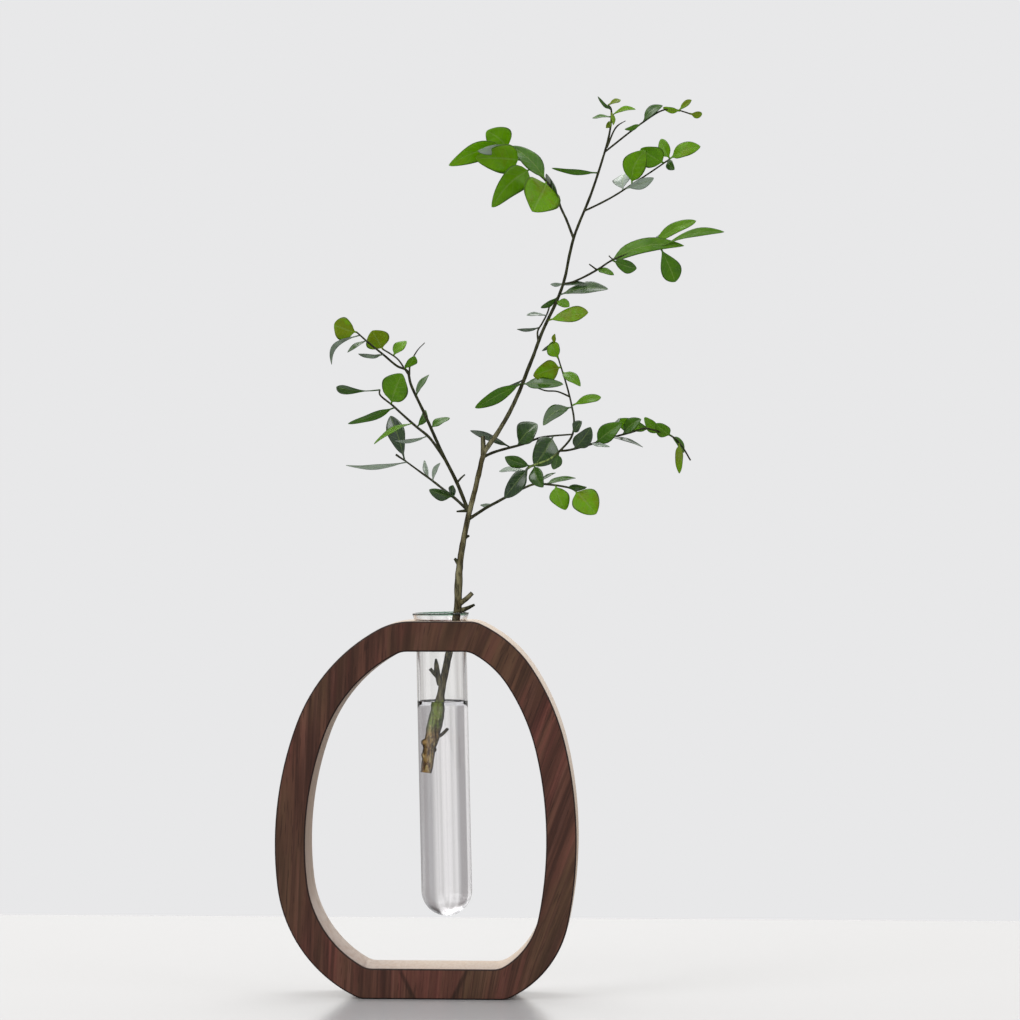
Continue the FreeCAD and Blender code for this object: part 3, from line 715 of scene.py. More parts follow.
# %% Leaf rows
LEAF_SHARES = {
    "left_high": [
        (1.00, (-0.046, 0.012, 0.016), 0.048, 20, 0.52, 0.00, 1.00),
        (0.98, (-0.060, 0.040, -0.056), 0.011, 30, 0.50, -0.28, -0.10),
        (0.94, (-0.034, -0.030, -0.024), 0.012, -40, 0.50, 0.00, 0.20),
        (0.84, (-0.046, -0.030, 0.000), 0.016, 60, 0.45, 0.00, -0.05),
        (0.58, (0.024, 0.020, 0.043), 0.020, 50, 0.50, 0.00, 0.40),
        (0.72, (0.022, -0.024, 0.024), 0.026, -55, 0.60, 0.00, 0.65),
        (0.42, (0.036, 0.020, 0.020), 0.022, 45, 0.45, 0.00, 0.50),
    ],
    "left_side": [
        (1.00, (-0.020, -0.016, 0.036), 0.050, 0, 0.52, 0.00, 0.99),
        (0.65, (0.024, 0.020, 0.030), 0.026, 35, 0.50, 0.00, 0.80),
    ],
    "left_back": [
        (0.80, (0.024, -0.024, 0.060), 0.062, 20, 0.52, 0.00, 0.66),
        (1.00, (-0.083, -0.040, 0.004), 0.028, 50, 0.84, 0.00, 0.25),
        (0.75, (-0.096, 0.024, -0.032), 0.022, 50, 0.45, -0.06, 0.45),
        (0.50, (-0.073, -0.036, -0.042), 0.022, -60, 0.45, 0.00, 0.70),
        (0.30, (-0.064, -0.020, -0.010), 0.014, 60, 0.50, 0.00, -0.15),
        (0.44, (0.016, 0.024, 0.034), 0.022, -50, 0.60, 0.00, 0.45),
    ],
    "left_low": [
        (1.00, (-0.030, 0.016, 0.090), 0.042, 30, 0.60, -0.08, 0.10),
        (0.97, (-0.126, 0.036, -0.006), 0.018, 60, 0.50, -0.04, -0.20),
        (0.28, (-0.046, -0.020, 0.014), 0.027, 30, 0.50, 0.00, 0.22),
        (0.27, (0.000, -0.016, 0.024), 0.020, 40, 0.60, 0.00, 0.10),
        (0.60, (0.016, -0.018, 0.036), 0.013, 40, 0.50, 0.06, -0.25),
        (0.66, (-0.010, 0.018, 0.036), 0.012, 30, 0.50, 0.00, -0.20),
    ],
    "right_low": [
        (0.76, (0.057, 0.024, 0.012), 0.016, 50, 0.40, 0.00, 0.35),
        (0.84, (0.020, -0.016, -0.048), 0.040, 25, 0.52, -0.10, 0.85),
        (1.00, (0.042, -0.020, -0.046), 0.056, 15, 0.51, 0.00, 0.92),
        (0.94, (0.038, -0.024, 0.000), 0.016, -40, 0.50, 0.06, 0.20),
        (0.68, (0.036, 0.020, 0.022), 0.010, 50, 0.50, 0.00, 0.20),
        (0.26, (-0.026, 0.018, -0.002), 0.009, 30, 0.50, 0.00, -0.20),
    ],
    "right_mid": [
        (0.14, (-0.050, -0.024, 0.018), 0.026, 25, 0.60, 0.00, 0.35),
        (0.10, (-0.054, 0.020, 0.000), 0.016, -50, 0.60, 0.00, -0.20),
        (0.12, (-0.044, -0.036, -0.058), 0.038, 30, 0.55, -0.05, 0.10),
        (0.16, (0.018, -0.020, -0.044), 0.032, -25, 0.50, -0.05, 0.30),
        (0.31, (-0.008, 0.020, -0.032), 0.024, 35, 0.50, 0.00, 0.35),
        (0.46, (0.018, -0.020, 0.022), 0.022, 30, 0.55, 0.00, 0.12),
        (0.62, (0.057, 0.028, 0.018), 0.022, 30, 0.62, 0.00, 0.78),
        (0.61, (-0.056, -0.026, -0.036), 0.030, -30, 0.50, -0.12, 0.25),
        (0.82, (0.036, -0.028, -0.029), 0.026, 35, 0.42, 0.00, 0.72),
        (0.85, (-0.054, -0.024, -0.018), 0.044, 25, 0.50, -0.06, 0.98),
        (0.90, (-0.014, 0.008, 0.034), 0.032, 25, 0.55, 0.00, 0.88),
        (1.00, (-0.024, 0.020, -0.018), 0.008, 40, 0.50, 0.00, 0.25),
        (0.99, (0.002, -0.010, 0.018), 0.010, 30, 0.50, 0.00, 1.00),
    ],
    "right_inner": [
        (0.33, (-0.082, 0.020, 0.034), 0.020, 45, 0.50, -0.12, 0.05),
        (0.41, (0.040, -0.020, 0.042), 0.048, 25, 0.55, 0.04, 0.20),
        (0.80, (-0.036, -0.028, -0.060), 0.058, 25, 0.50, 0.00, 0.22),
    ],
    "right_droop": [
        (0.10, (0.034, -0.032, 0.042), 0.036, -25, 0.50, 0.00, 0.15),
        (0.26, (0.052, -0.024, 0.038), 0.036, 15, 0.45, 0.00, 0.50),
        (0.32, (0.032, 0.016, 0.044), 0.014, 50, 0.50, -0.08, 0.20),
        (0.59, (-0.044, -0.028, 0.020), 0.032, 30, 0.50, 0.00, 0.88),
        (0.66, (-0.056, 0.020, 0.022), 0.028, 40, 0.50, 0.00, 0.60),
        (0.74, (-0.036, 0.024, 0.030), 0.028, 40, 0.50, 0.00, 0.75),
        (0.80, (-0.030, -0.012, 0.024), 0.030, 25, 0.50, 0.00, 0.65),
        (0.46, (0.036, -0.022, 0.030), 0.028, 25, 0.50, 0.05, 0.45),
        (0.38, (0.061, -0.032, -0.020), 0.010, 45, 0.40, 0.00, 0.05),
        (0.23, (0.036, -0.022, -0.006), 0.010, 40, 0.50, -0.06, -0.20),
        (0.87, (0.000, -0.012, -0.061), 0.020, 35, 0.50, -0.08, 1.00),
        (0.80, (0.026, 0.020, -0.034), 0.018, 40, 0.50, 0.06, 0.45),
    ],
    "stem": [
        (0.460, (-0.070, 0.028, -0.030), 0.018, 60, 0.50, -0.06, 0.15),
        (0.452, (-0.093, -0.028, -0.050), 0.029, 30, 0.58, -0.05, 0.50),
        (0.450, (0.082, -0.028, -0.002), 0.028, 35, 0.50, -0.05, 0.35),
        (0.578, (0.082, -0.032, 0.014), 0.036, 30, 0.66, -0.03, 0.95),
        (0.630, (0.098, -0.032, 0.010), 0.030, 40, 0.56, 0.03, 0.22),
        (0.628, (-0.036, 0.012, -0.022), 0.014, 40, 0.60, 0.00, 0.35),
        (0.618, (0.026, -0.020, -0.012), 0.022, 30, 0.55, 0.00, 0.75),
        (0.650, (0.046, -0.024, 0.002), 0.010, 30, 0.50, 0.00, 0.10),
        (0.653, (-0.026, 0.016, 0.000), 0.009, 30, 0.50, 0.00, -0.15),
        (0.870, (-0.093, 0.024, 0.012), 0.016, 55, 0.50, -0.05, 0.50),
        (0.990, (-0.026, -0.016, 0.024), 0.010, 50, 0.40, 0.00, 0.30),
        (1.000, (0.024, 0.016, 0.012), 0.013, 35, 0.60, 0.00, 1.00),
        (0.978, (0.048, -0.024, 0.010), 0.013, 40, 0.55, 0.10, 0.90),
        (0.976, (-0.038, 0.016, 0.000), 0.011, -45, 0.60, 0.00, 0.45),
        (0.968, (-0.010, -0.012, -0.014), 0.012, 30, 0.50, 0.00, 1.00),
        (0.984, (0.004, -0.016, -0.026), 0.010, 30, 0.50, 0.00, 1.00),
    ],
    "upper_side": [
        (0.40, (-0.046, 0.024, -0.002), 0.010, 50, 0.50, 0.00, 0.00),
        (0.72, (-0.038, -0.020, 0.000), 0.012, -45, 0.60, 0.00, -0.15),
    ],
    "upper_right": [
        (0.50, (0.150, -0.036, 0.030), 0.034, 25, 0.42, 0.08, 0.60),
        (0.55, (0.048, -0.028, -0.018), 0.030, -35, 0.62, 0.00, 0.45),
        (0.88, (0.091, 0.016, 0.056), 0.026, 25, 0.62, 0.05, 0.72),
        (0.88, (0.034, 0.024, 0.034), 0.014, 30, 0.50, 0.00, -0.05),
        (1.00, (0.118, -0.028, 0.024), 0.020, 35, 0.60, 0.05, 0.62),
        (0.97, (0.030, 0.016, -0.068), 0.042, 10, 0.68, 0.00, 0.55),
        (0.38, (0.034, -0.024, -0.012), 0.016, 35, 0.50, 0.00, 0.55),
    ],
    "top_left": [
        (0.56, (-0.072, 0.030, 0.074), 0.038, -25, 0.50, -0.04, 0.50),
        (0.31, (-0.030, 0.032, 0.068), 0.024, 45, 0.50, -0.06, 0.12),
        (0.98, (-0.044, -0.010, 0.036), 0.056, 10, 0.44, -0.10, 0.85),
        (0.99, (-0.056, -0.070, -0.012), 0.024, 40, 0.50, -0.05, -0.25),
        (1.00, (-0.114, -0.036, -0.038), 0.042, 30, 0.46, -0.12, 0.88),
        (0.84, (-0.090, -0.044, 0.000), 0.060, 20, 0.40, -0.04, 0.88),
        (0.73, (-0.078, -0.032, -0.080), 0.056, 30, 0.38, -0.12, 0.80),
        (0.56, (-0.026, -0.048, -0.064), 0.086, 20, 0.48, 0.00, 0.92),
    ],
    "crown_low": [
        (0.55, (0.026, -0.024, 0.065), 0.050, 15, 0.52, 0.10, 0.82),
        (0.93, (-0.046, -0.028, 0.026), 0.048, 20, 0.50, 0.00, 0.75),
        (1.00, (-0.018, 0.020, 0.042), 0.027, 25, 0.50, 0.00, 0.85),
        (1.00, (0.061, -0.020, 0.022), 0.034, 25, 0.52, 0.05, 0.90),
        (0.97, (0.014, -0.018, -0.020), 0.020, -30, 0.50, 0.00, 0.30),
        (0.44, (0.002, 0.032, 0.036), 0.042, 30, 0.62, 0.00, -0.20),
        (0.48, (0.055, -0.024, 0.018), 0.022, -30, 0.55, 0.00, -0.30),
    ],
    "crown_high": [
        (0.49, (0.038, -0.016, 0.030), 0.021, 25, 0.50, 0.10, 0.35),
        (0.45, (-0.030, -0.020, -0.012), 0.012, 45, 0.50, 0.00, 0.55),
        (0.90, (-0.034, 0.016, 0.008), 0.014, 40, 0.50, 0.00, 0.95),
        (0.89, (0.024, -0.016, 0.018), 0.014, 30, 0.60, 0.00, 1.00),
        (1.00, (0.024, 0.016, 0.000), 0.016, -35, 0.60, 0.00, 1.00),
    ],
}
print("rows for", sum(len(rows) for rows in LEAF_SHARES.values()), "leaves")

# %% [markdown]
# ## Bark
# The old wood is grey brown with cracks along it and pale breathing pores; thin young twigs are green
# brown. The twig's own thickness is stored on its mesh, so one material serves both.

# %% Bark material
BARK_GREY = rgb(138, 132, 98)
BARK_BROWN = rgb(84, 74, 46)
BARK_DARK = rgb(22, 20, 12)
TWIG_GREEN = rgb(44, 48, 24)
# Partly the young stalk's paler green and partly a painted highlight: pale green laid in a ball round one
# place on the right twig.
STALK_GREEN_AND_HIGHLIGHT = rgb(136, 158, 84)
STALK_MIDDLE = (0.160, -0.070, 0.293)
STALK_REACH = 0.008
WET_GREEN = rgb(120, 138, 58)
WET_BROWN = rgb(152, 122, 70)
WET_SPOT = rgb(70, 36, 10)
WET_FLECK = rgb(206, 196, 138)
WET_STUB = rgb(44, 36, 24)
WATER_LEVEL = 0.1464
GREEN_LEVEL = 0.1340
STALK_FADE = 1.6
THIN = 0.8 * MM
THICK = 1.4 * MM
THICK_STUB = 1.3 * MM


def make_bark():
    """Old bark, young green bark and the wet stretch under water, mixed by thickness and height, with painted
    shade at the sides of each limb.
    """
    material, tree, shader = new_material("bark_thin")
    place = result(tree, "ShaderNodeTexCoord", output="Object")
    cracks = streaks(place, (900.0, 900.0, 160.0), 0.44, 0.62)
    patches = streaks(place, (240.0, 240.0, 70.0), 0.38, 0.62, detail=3.0)
    pores = streaks(place, (1300.0, 1300.0, 1300.0), 0.66, 0.72, detail=1.0)
    spots = streaks(place, (420.0, 420.0, 300.0), 0.50, 0.60, detail=3.0)
    flecks = streaks(place, (700.0, 700.0, 420.0), 0.56, 0.66, detail=2.0)
    thick = attribute(tree, "thick")
    level = coordinates(tree)[2]
    under = spread(level, WATER_LEVEL - MM, WATER_LEVEL, 1.0, 0.0)
    green = spread(level, GREEN_LEVEL - 5 * MM, GREEN_LEVEL)
    wet = layered(WET_BROWN,
                  (green, WET_GREEN), (flecks * 0.55, WET_FLECK), (spots * (green * -0.45 + 0.85), WET_SPOT),
                  (spread(thick, THIN, THICK_STUB, 0.90, 0.0), WET_STUB))
    away = vector_step("DISTANCE", place, placed(*STALK_MIDDLE))
    colour = layered(BARK_BROWN,
                     (patches, BARK_GREY), (spread(thick, THIN, THICK, 0.95, 0.0), TWIG_GREEN),
                     # Painted highlight over paler young bark: pale green round one place on the right twig.
                     (spread(away, STALK_REACH, STALK_REACH * STALK_FADE, 1.0, 0.0), STALK_GREEN_AND_HIGHLIGHT),
                     (under * 0.92, wet), (cracks * 0.7, BARK_DARK), (pores * 0.5, BARK_GREY),
                     # Painted shade: the bark darkens where its surface turns away from sight, at the sides
                     # of each limb.
                     (spread(facing(tree), 0.12, 0.62) * 0.85, BARK_DARK))
    fill(shader, Base_Color=colour, Roughness=cracks * 0.2 + 0.65, Specular_IOR_Level=0.15,
         Normal=bumped(cracks * -0.7 + pores * 0.5, 0.7, 0.3 * MM))
    return material


BARK = make_bark()
print("bark material has", len(BARK.node_tree.nodes), "nodes")

# %% [markdown]
# ## Limbs by Geometry Nodes
# Every limb is the same thing at another size: a round, tapering tube along a route, a little lumpy, with
# small buds at steady steps. That is a rule, so one geometry tree makes them all. Its inputs are sizes, and
# the random turn of each bud has a fixed seed.

# %% Limb tree
BUD_LENGTH = 1.7
BUD_OFFSET = 0.55
BUDS_FROM = 0.07
BUDS_TO = 0.96


def make_buds(tree, given, curve, thick):
    """Small pointed buds along the curve, each turned by its own angle and leaning to the limb's tip."""
    middle = result(tree, "GeometryNodeTrimCurve", Curve=curve, Start=BUDS_FROM, End=BUDS_TO)
    dots = add(tree, "GeometryNodeCurveToPoints", mode="LENGTH", Curve=middle, Length=given["Bud Step"])
    drop = result(tree, "GeometryNodeMeshUVSphere", Segments=6, Rings=5, Radius=1.0)
    angle = result(tree, "FunctionNodeRandomValue", data_type="FLOAT", Min=0.0, Max=math.tau,
                   Seed=given["Seed"])
    spin = result(tree, "FunctionNodeAxisAngleToRotation", Axis=(0.0, 0.0, 1.0), Angle=angle)
    turn = result(tree, "FunctionNodeRotateRotation", rotation_space="LOCAL", Rotate_By=spin,
                  Rotation=Value(dots.outputs["Rotation"]))
    size = thick * given["Bud Size"]
    scale = result(tree, "ShaderNodeCombineXYZ", size, size, size * BUD_LENGTH)
    buds = result(tree, "GeometryNodeInstanceOnPoints", Points=Value(dots.outputs["Points"]), Instance=drop,
                  Rotation=turn, Scale=scale)
    outward = result(tree, "ShaderNodeCombineXYZ", thick * BUD_OFFSET)
    return result(tree, "GeometryNodeTranslateInstances", Instances=buds, Translation=outward,
                  Local_Space=True)


def make_limb_tree():
    """Curve in, lumpy tapering limb with buds out."""
    tree, given, end = new_group("limb", "GeometryNodeTree", [
        ("Geometry", "Geometry", None), ("Relief", "Float", 0.12), ("Relief Size", "Float", 0.004),
        ("Bud Step", "Float", 0.012), ("Bud Size", "Float", 0.9), ("Sides", "Int", 12), ("Seed", "Int", 1),
        ("Material", "Material", None)], ("Geometry", "Geometry"))
    radius = result(tree, "GeometryNodeInputRadius")
    curve = result(tree, "GeometryNodeStoreNamedAttribute", Geometry=given["Geometry"], Name="thick",
                   Value=radius)
    ring = result(tree, "GeometryNodeCurvePrimitiveCircle", Resolution=given["Sides"], Radius=1.0)
    skin = result(tree, "GeometryNodeCurveToMesh", Curve=curve, Profile_Curve=ring, Scale=radius,
                  Fill_Caps=True)
    thick = result(tree, "GeometryNodeInputNamedAttribute", Name="thick")
    lumps = result(tree, "ShaderNodeTexNoise", Scale=1.0 / given["Relief Size"], Detail=2.0)
    push = (lumps - 0.5) * given["Relief"] * (thick * 2.0)
    offset = vector_step("SCALE", result(tree, "GeometryNodeInputNormal"), push)
    lumpy = result(tree, "GeometryNodeSetPosition", Geometry=skin, Offset=offset)
    joined = add(tree, "GeometryNodeJoinGeometry", make_buds(tree, given, curve, thick))
    fill(joined, lumpy)
    smooth = result(tree, "GeometryNodeSetShadeSmooth", Value(joined.outputs[0]))
    real = result(tree, "GeometryNodeRealizeInstances", smooth)
    fill(end, result(tree, "GeometryNodeSetMaterial", Geometry=real, Material=given["Material"]))
    return tree


LIMB_TREE = make_limb_tree()
print("limb tree has", len(LIMB_TREE.nodes), "nodes")

# %% [markdown]
# A route of a few places would make a twig of straight sticks. `smooth_route` draws a curve through them in
# small steps, and both the limb and the leaves that grow on it use that same curve, so no leaf misses its
# twig.

# %% Route helpers
ROUTE_STEPS = 7


def smooth_route(points, radii):
    """Many points on a smooth curve through a few, with their radii."""
    dense = eased([(*point, radius) for point, radius in zip(points, radii)], ROUTE_STEPS)
    return [Vector(p[:3]) for p in dense], [p[3] for p in dense]


def along(route, share):
    """The point at a share of a route's length."""
    runs = [(b - a).length for a, b in zip(route[:-1], route[1:])]
    left = share * sum(runs)
    for a, b, run in zip(route[:-1], route[1:], runs):
        if left <= run:
            return a + (b - a) * (left / run)
        left -= run
    return route[-1]


def limb_curve(name, splines):
    """A curve with one straight-run spline for each route, with its radius at each point."""
    data = bpy.data.curves.new(name, "CURVE")
    data.dimensions = "3D"
    for points, radii in splines:
        spline = data.splines.new("POLY")
        spline.points.add(len(points) - 1)
        for dot, point, radius in zip(spline.points, points, radii):
            dot.co = (*point, 1.0)
            dot.radius = radius
    return data


def grow(name, splines, sides, seed, bud_step, bud_size=0.9, relief=0.2):
    """Runs the limb tree on the splines and keeps the result as a plain mesh."""
    carrier = link(name + "_route", limb_curve(name + "_route", splines))
    modifier = carrier.modifiers.new("limb", "NODES")
    modifier.node_group = LIMB_TREE
    values = {"Sides": sides, "Seed": seed, "Bud Step": bud_step, "Bud Size": bud_size, "Relief": relief,
              "Material": BARK}
    for item in LIMB_TREE.interface.items_tree:
        if item.in_out == "INPUT" and item.name in values:
            modifier[item.identifier] = values[item.name]
    bpy.context.view_layer.update()
    evaluated = carrier.evaluated_get(bpy.context.evaluated_depsgraph_get())
    mesh = bpy.data.meshes.new_from_object(evaluated)
    bpy.data.objects.remove(carrier)
    mesh.name = name
    return link(name, mesh)


print("a route has", ROUTE_STEPS, "steps between two chosen places")

# %% [markdown]
# ## Stem and twigs
# The stem starts at its slanting cut under water and carries stubs where side shoots were cut away.

# %% Stem
STEM_STUBS = [
    ([(0.004, 0.000, 0.016), (0.020, -0.006, 0.028), (0.030, -0.008, 0.038)], [0.0014, 0.0013, 0.0012]),
    ([(0.002, -0.004, 0.002), (0.020, -0.010, 0.008), (0.035, -0.012, 0.015)], [0.0016, 0.0010, 0.0006]),
    ([(0.052, -0.008, 0.307), (0.052, -0.009, 0.330), (0.051, -0.010, 0.348)], [0.0013, 0.0012, 0.0011]),
    ([(0.024, 0.000, 0.201), (0.010, -0.003, 0.200), (-0.001, -0.005, 0.199)], [0.0009, 0.0007, 0.0004]),
    ([(0.004, 0.000, 0.096), (0.000, -0.002, 0.100), (-0.005, -0.004, 0.106)], [0.0014, 0.0011, 0.0006]),
    ([(0.014, -0.002, 0.146), (0.018, -0.003, 0.149), (0.024, -0.004, 0.151)], [0.0014, 0.0010, 0.0005]),
    ([(0.296, -0.002, 0.917), (0.313, -0.006, 0.955), (0.333, -0.010, 0.969)], [0.0005, 0.0004, 0.0002]),
]
DIPPED_STUBS = [
    ([(-0.30, 0.775), (-0.05, 0.760), (0.20, 0.725)], [0.0012, 0.0008, 0.0006]),
    ([(-0.56, 0.840), (-0.76, 0.815), (-0.93, 0.820)], [0.0024, 0.0022, 0.0012]),
    ([(-0.64, 0.920), (-0.80, 0.890), (-0.93, 0.880)], [0.0021, 0.0019, 0.0011]),
    ([(-0.14, 0.455), (-0.26, 0.380), (-0.30, 0.335), (-0.32, 0.290)], [0.0012, 0.0014, 0.0013, 0.0004]),
    ([(-0.24, 0.405), (-0.46, 0.378), (-0.67, 0.350)], [0.0010, 0.0010, 0.0009]),
]
TWIG_SPURS = {
    "left_high": [([(-0.091, -0.050, 0.467), (-0.089, -0.048, 0.490), (-0.076, -0.046, 0.515),
                    (-0.061, -0.044, 0.531)], [0.0005, 0.0004, 0.0003, 0.0002]),
                  ([(0.000, -0.008, 0.256), (0.008, -0.010, 0.265), (0.016, -0.012, 0.272)],
                   [0.0006, 0.0005, 0.0004])],
    "left_low": [([(-0.108, 0.068, 0.300), (-0.118, 0.070, 0.306), (-0.128, 0.072, 0.313)],
                  [0.0005, 0.0005, 0.0006])],
    "upper_right": [([(0.277, -0.033, 0.674), (0.270, -0.034, 0.679), (0.262, -0.035, 0.685)],
                     [0.0005, 0.0004, 0.0003]),
                    ([(0.310, -0.052, 0.692), (0.305, -0.052, 0.696), (0.301, -0.052, 0.700)],
                     [0.0004, 0.0003, 0.0003])],
    "right_mid": [([(0.222, -0.008, 0.426), (0.198, -0.004, 0.436), (0.174, 0.000, 0.438),
                    (0.150, 0.004, 0.447)], [0.0005, 0.0004, 0.0004, 0.0003])],
}


def stem_route():
    """Points and radii of the whole stem. Its bark is swollen under water, most below the surface."""
    points = dipped(DIPPED_STEM_SHARES) + [placed(*share[:3]) for share in STEM_SHARES]
    swellings = DIPPED_SWELLING + [share[3] for share in STEM_SHARES]
    return points, [swelling * STEM_RADIUS for swelling in swellings]


def twig_route(name):
    """Points and radii of one twig, or of the stem over the rim."""
    if name == "stem":
        points, radii = stem_route()
        first = len(DIPPED_STEM_SHARES) - 1
        return smooth_route(points[first:], radii[first:])
    root, tip, shares = TWIG_SHARES[name]
    steps = len(shares) - 1
    radii = [(root + (tip - root) * n / steps) * STEM_RADIUS for n in range(steps + 1)]
    return smooth_route([placed(*share) for share in shares], radii)


def side_shoots(stubs):
    """Smooth routes of stubs or spurs over the rim."""
    return [smooth_route([placed(*share) for share in shares], radii) for shares, radii in stubs]


def make_stem():
    """The stem with its stubs as one lumpy limb."""
    splines = [smooth_route(*stem_route())] + side_shoots(STEM_STUBS)
    splines += [smooth_route(dipped(shares), radii) for shares, radii in DIPPED_STUBS]
    return grow("stem_bark", splines, sides=14, seed=3, bud_step=0.019, bud_size=0.85, relief=0.30)


stem = finish_piece(make_stem(), "sprig", "stem")
print("stem has", len(stem.data.polygons), "faces")

# %% Twigs
for seed, name in enumerate(TWIG_SHARES):
    splines = [twig_route(name)] + side_shoots(TWIG_SPURS.get(name, []))
    twig = grow("bark_" + name, splines, sides=9, seed=seed, bud_step=0.0085)
    finish_piece(twig, "sprig", "twig_" + name)
print("grew", len(TWIG_SHARES), "twigs")

# %% [markdown]
# ## Leaf surface
# A leaf lets light through, so against a bright window it glows yellow green, and where it hangs away from
# the light it shows its waxy dark side. The mix has both: a glossy surface and a share of light from
# behind. The rib and side veins follow the blade, so they are drawn on its UV map, and each leaf's tone,
# partly its age and partly painted light, is stored on its mesh.

# %% Leaf material
# Painted glare: the pale grey green given to leaves whose tone is below 0.
LEAF_PAINTED_GLARE = rgb(176, 190, 176)
LEAF_OLD = rgb(36, 68, 30)
LEAF_MID = rgb(86, 136, 26)
LEAF_YOUNG = rgb(132, 186, 4)
LEAF_YELLOW = rgb(136, 158, 2)
LEAF_RIB = rgb(166, 192, 104)
LEAF_UNDER = rgb(122, 150, 96)
# Painted shade: the dark green laid along the edge of each blade.
LEAF_EDGE_SHADE = rgb(44, 60, 20)
VEIN_PAIRS = 7.0
VEIN_SLANT = 0.75
LIGHT_THROUGH = 0.48


def leaf_tone(tree, place):
    """Colour by each leaf's stored tone, partly age and partly painted light, from dark to bright, with slow
    mottling. Tones below 0 lean to a painted pale glare.
    """
    mottle = streaks(place, (180.0, 180.0, 180.0), 0.3, 0.7, detail=3.0)
    age_and_light = attribute(tree, "age_and_light") + (mottle * 0.12 - 0.06)
    ramp = add(tree, "ShaderNodeValToRGB", age_and_light * 0.75 + 0.25)
    points = ramp.color_ramp.elements
    # Painted light: the lowest tones turn towards the painted pale glare.
    points[0].position = 0.10
    points[0].color = LEAF_PAINTED_GLARE
    points[1].color = LEAF_YELLOW
    for position, tone in ((0.30, LEAF_OLD), (0.62, LEAF_MID), (0.93, LEAF_YOUNG)):
        points.new(position).color = tone
    return Value(ramp.outputs["Color"]), age_and_light


def leaf_veins(tree):
    """Masks of the middle rib, of the side veins and of the painted shade along the blade's edge, from its
    own map.
    """
    u, v, _ = coordinates(tree, "UV")
    off = abs(u * 2.0 - 1.0)
    rib = spread(off, 0.03, 0.10, 1.0, 0.0)
    edge_shade = spread(off, 0.84, 0.97)
    slanted = off * (-VEIN_SLANT / VEIN_PAIRS * 2) + v
    near = abs(step("FRACT", slanted * VEIN_PAIRS) - 0.5)
    side = spread(near, 0.40, 0.49) * spread(off, 0.75, 1.0, 1.0, 0.0)
    return rib, side, edge_shade


def make_leaf_material():
    """Waxy leaf with rib, veins, a paler underside, painted shade along its edge and light coming through
    from behind.
    """
    material, tree, shader = new_material("leaf_waxy")
    place = result(tree, "ShaderNodeTexCoord", output="Object")
    rib, side, edge_shade = leaf_veins(tree)
    colour, age_and_light = leaf_tone(tree, place)
    under = attribute(tree, "under")
    # Painted shade darkens each blade towards its edge.
    colour = layered(colour, (under * 0.40, LEAF_UNDER), (rib * 0.35, LEAF_RIB), (side * 0.16, LEAF_RIB),
                     (edge_shade * 0.60, LEAF_EDGE_SHADE))
    quilt = streaks(place, (150.0, 150.0, 150.0), 0.2, 0.8, detail=1.0)
    height = quilt * 4.0 + (rib * -0.8 + side * -0.5)
    fill(shader, Base_Color=colour, Roughness=under * 0.25 + 0.33, Specular_IOR_Level=0.28,
         Coat_Weight=spread(age_and_light, 0.1, 0.6, 0.90, 0.0), Coat_Roughness=0.18, Coat_IOR=1.8,
         Normal=bumped(height, 0.5, 0.3 * MM))
    through = result(tree, "ShaderNodeBsdfTranslucent", Color=colour)
    both = result(tree, "ShaderNodeMixShader", LIGHT_THROUGH, Value(shader.outputs["BSDF"]), through)
    fill(tree.nodes["Material Output"], both)
    return material


LEAF = make_leaf_material()
print("leaf material has", len(LEAF.node_tree.nodes), "nodes")

# %% [markdown]
# ## Leaf blades
# A blade is a thin shell over a grid: across it folds up from the rib, along it arches and sways, and its
# edge waves a little. Its width follows one formula: a thin stalk, most at the leaf's own widest place, and
# nothing at the tip. Both skins are made at once and stitched at the edge, so every leaf is a closed body
# with a real thickness.

# %% Leaf blade
STALK_SHARE = 0.12
STALK_HALF = 0.45 * MM
STALK_THICK = 0.6 * MM
BLADE_THICK = 0.35 * MM
LEAF_FOLD = 0.20
LEAF_ARCH = 0.07
EDGE_WAVE = 0.10
EDGE_WAVES = 9.0
EDGE_THINNING = 0.6
ROUNDNESS = 0.66
LENGTH_STEPS = 18
EVEN_STEPS = 0.25
WIDTH_STEPS = 8
LEAF_PHASE = 1.7


def half_width(share, widest, width):
    """Half the blade's width at a share of its length."""
    place = (share - STALK_SHARE) / (1 - STALK_SHARE)
    if place <= 0:
        return STALK_HALF
    bend = math.log(0.5) / math.log((widest - STALK_SHARE) / (1 - STALK_SHARE))
    full = math.sin(math.pi * min(place, 1.0) ** bend)
    return max(STALK_HALF * (1 - place), width / 2 * max(full, 0.0) ** ROUNDNESS)


def leaf_axes(reach, turn):
    """Unit directions along, across and out of a blade."""
    way = Vector(reach).normalized()
    side = way.cross(Vector((0.0, 1.0, 0.0))).normalized()
    front = side.cross(way)
    angle = math.radians(turn)
    across = side * math.cos(angle) + front * math.sin(angle)
    return way, across, way.cross(across)


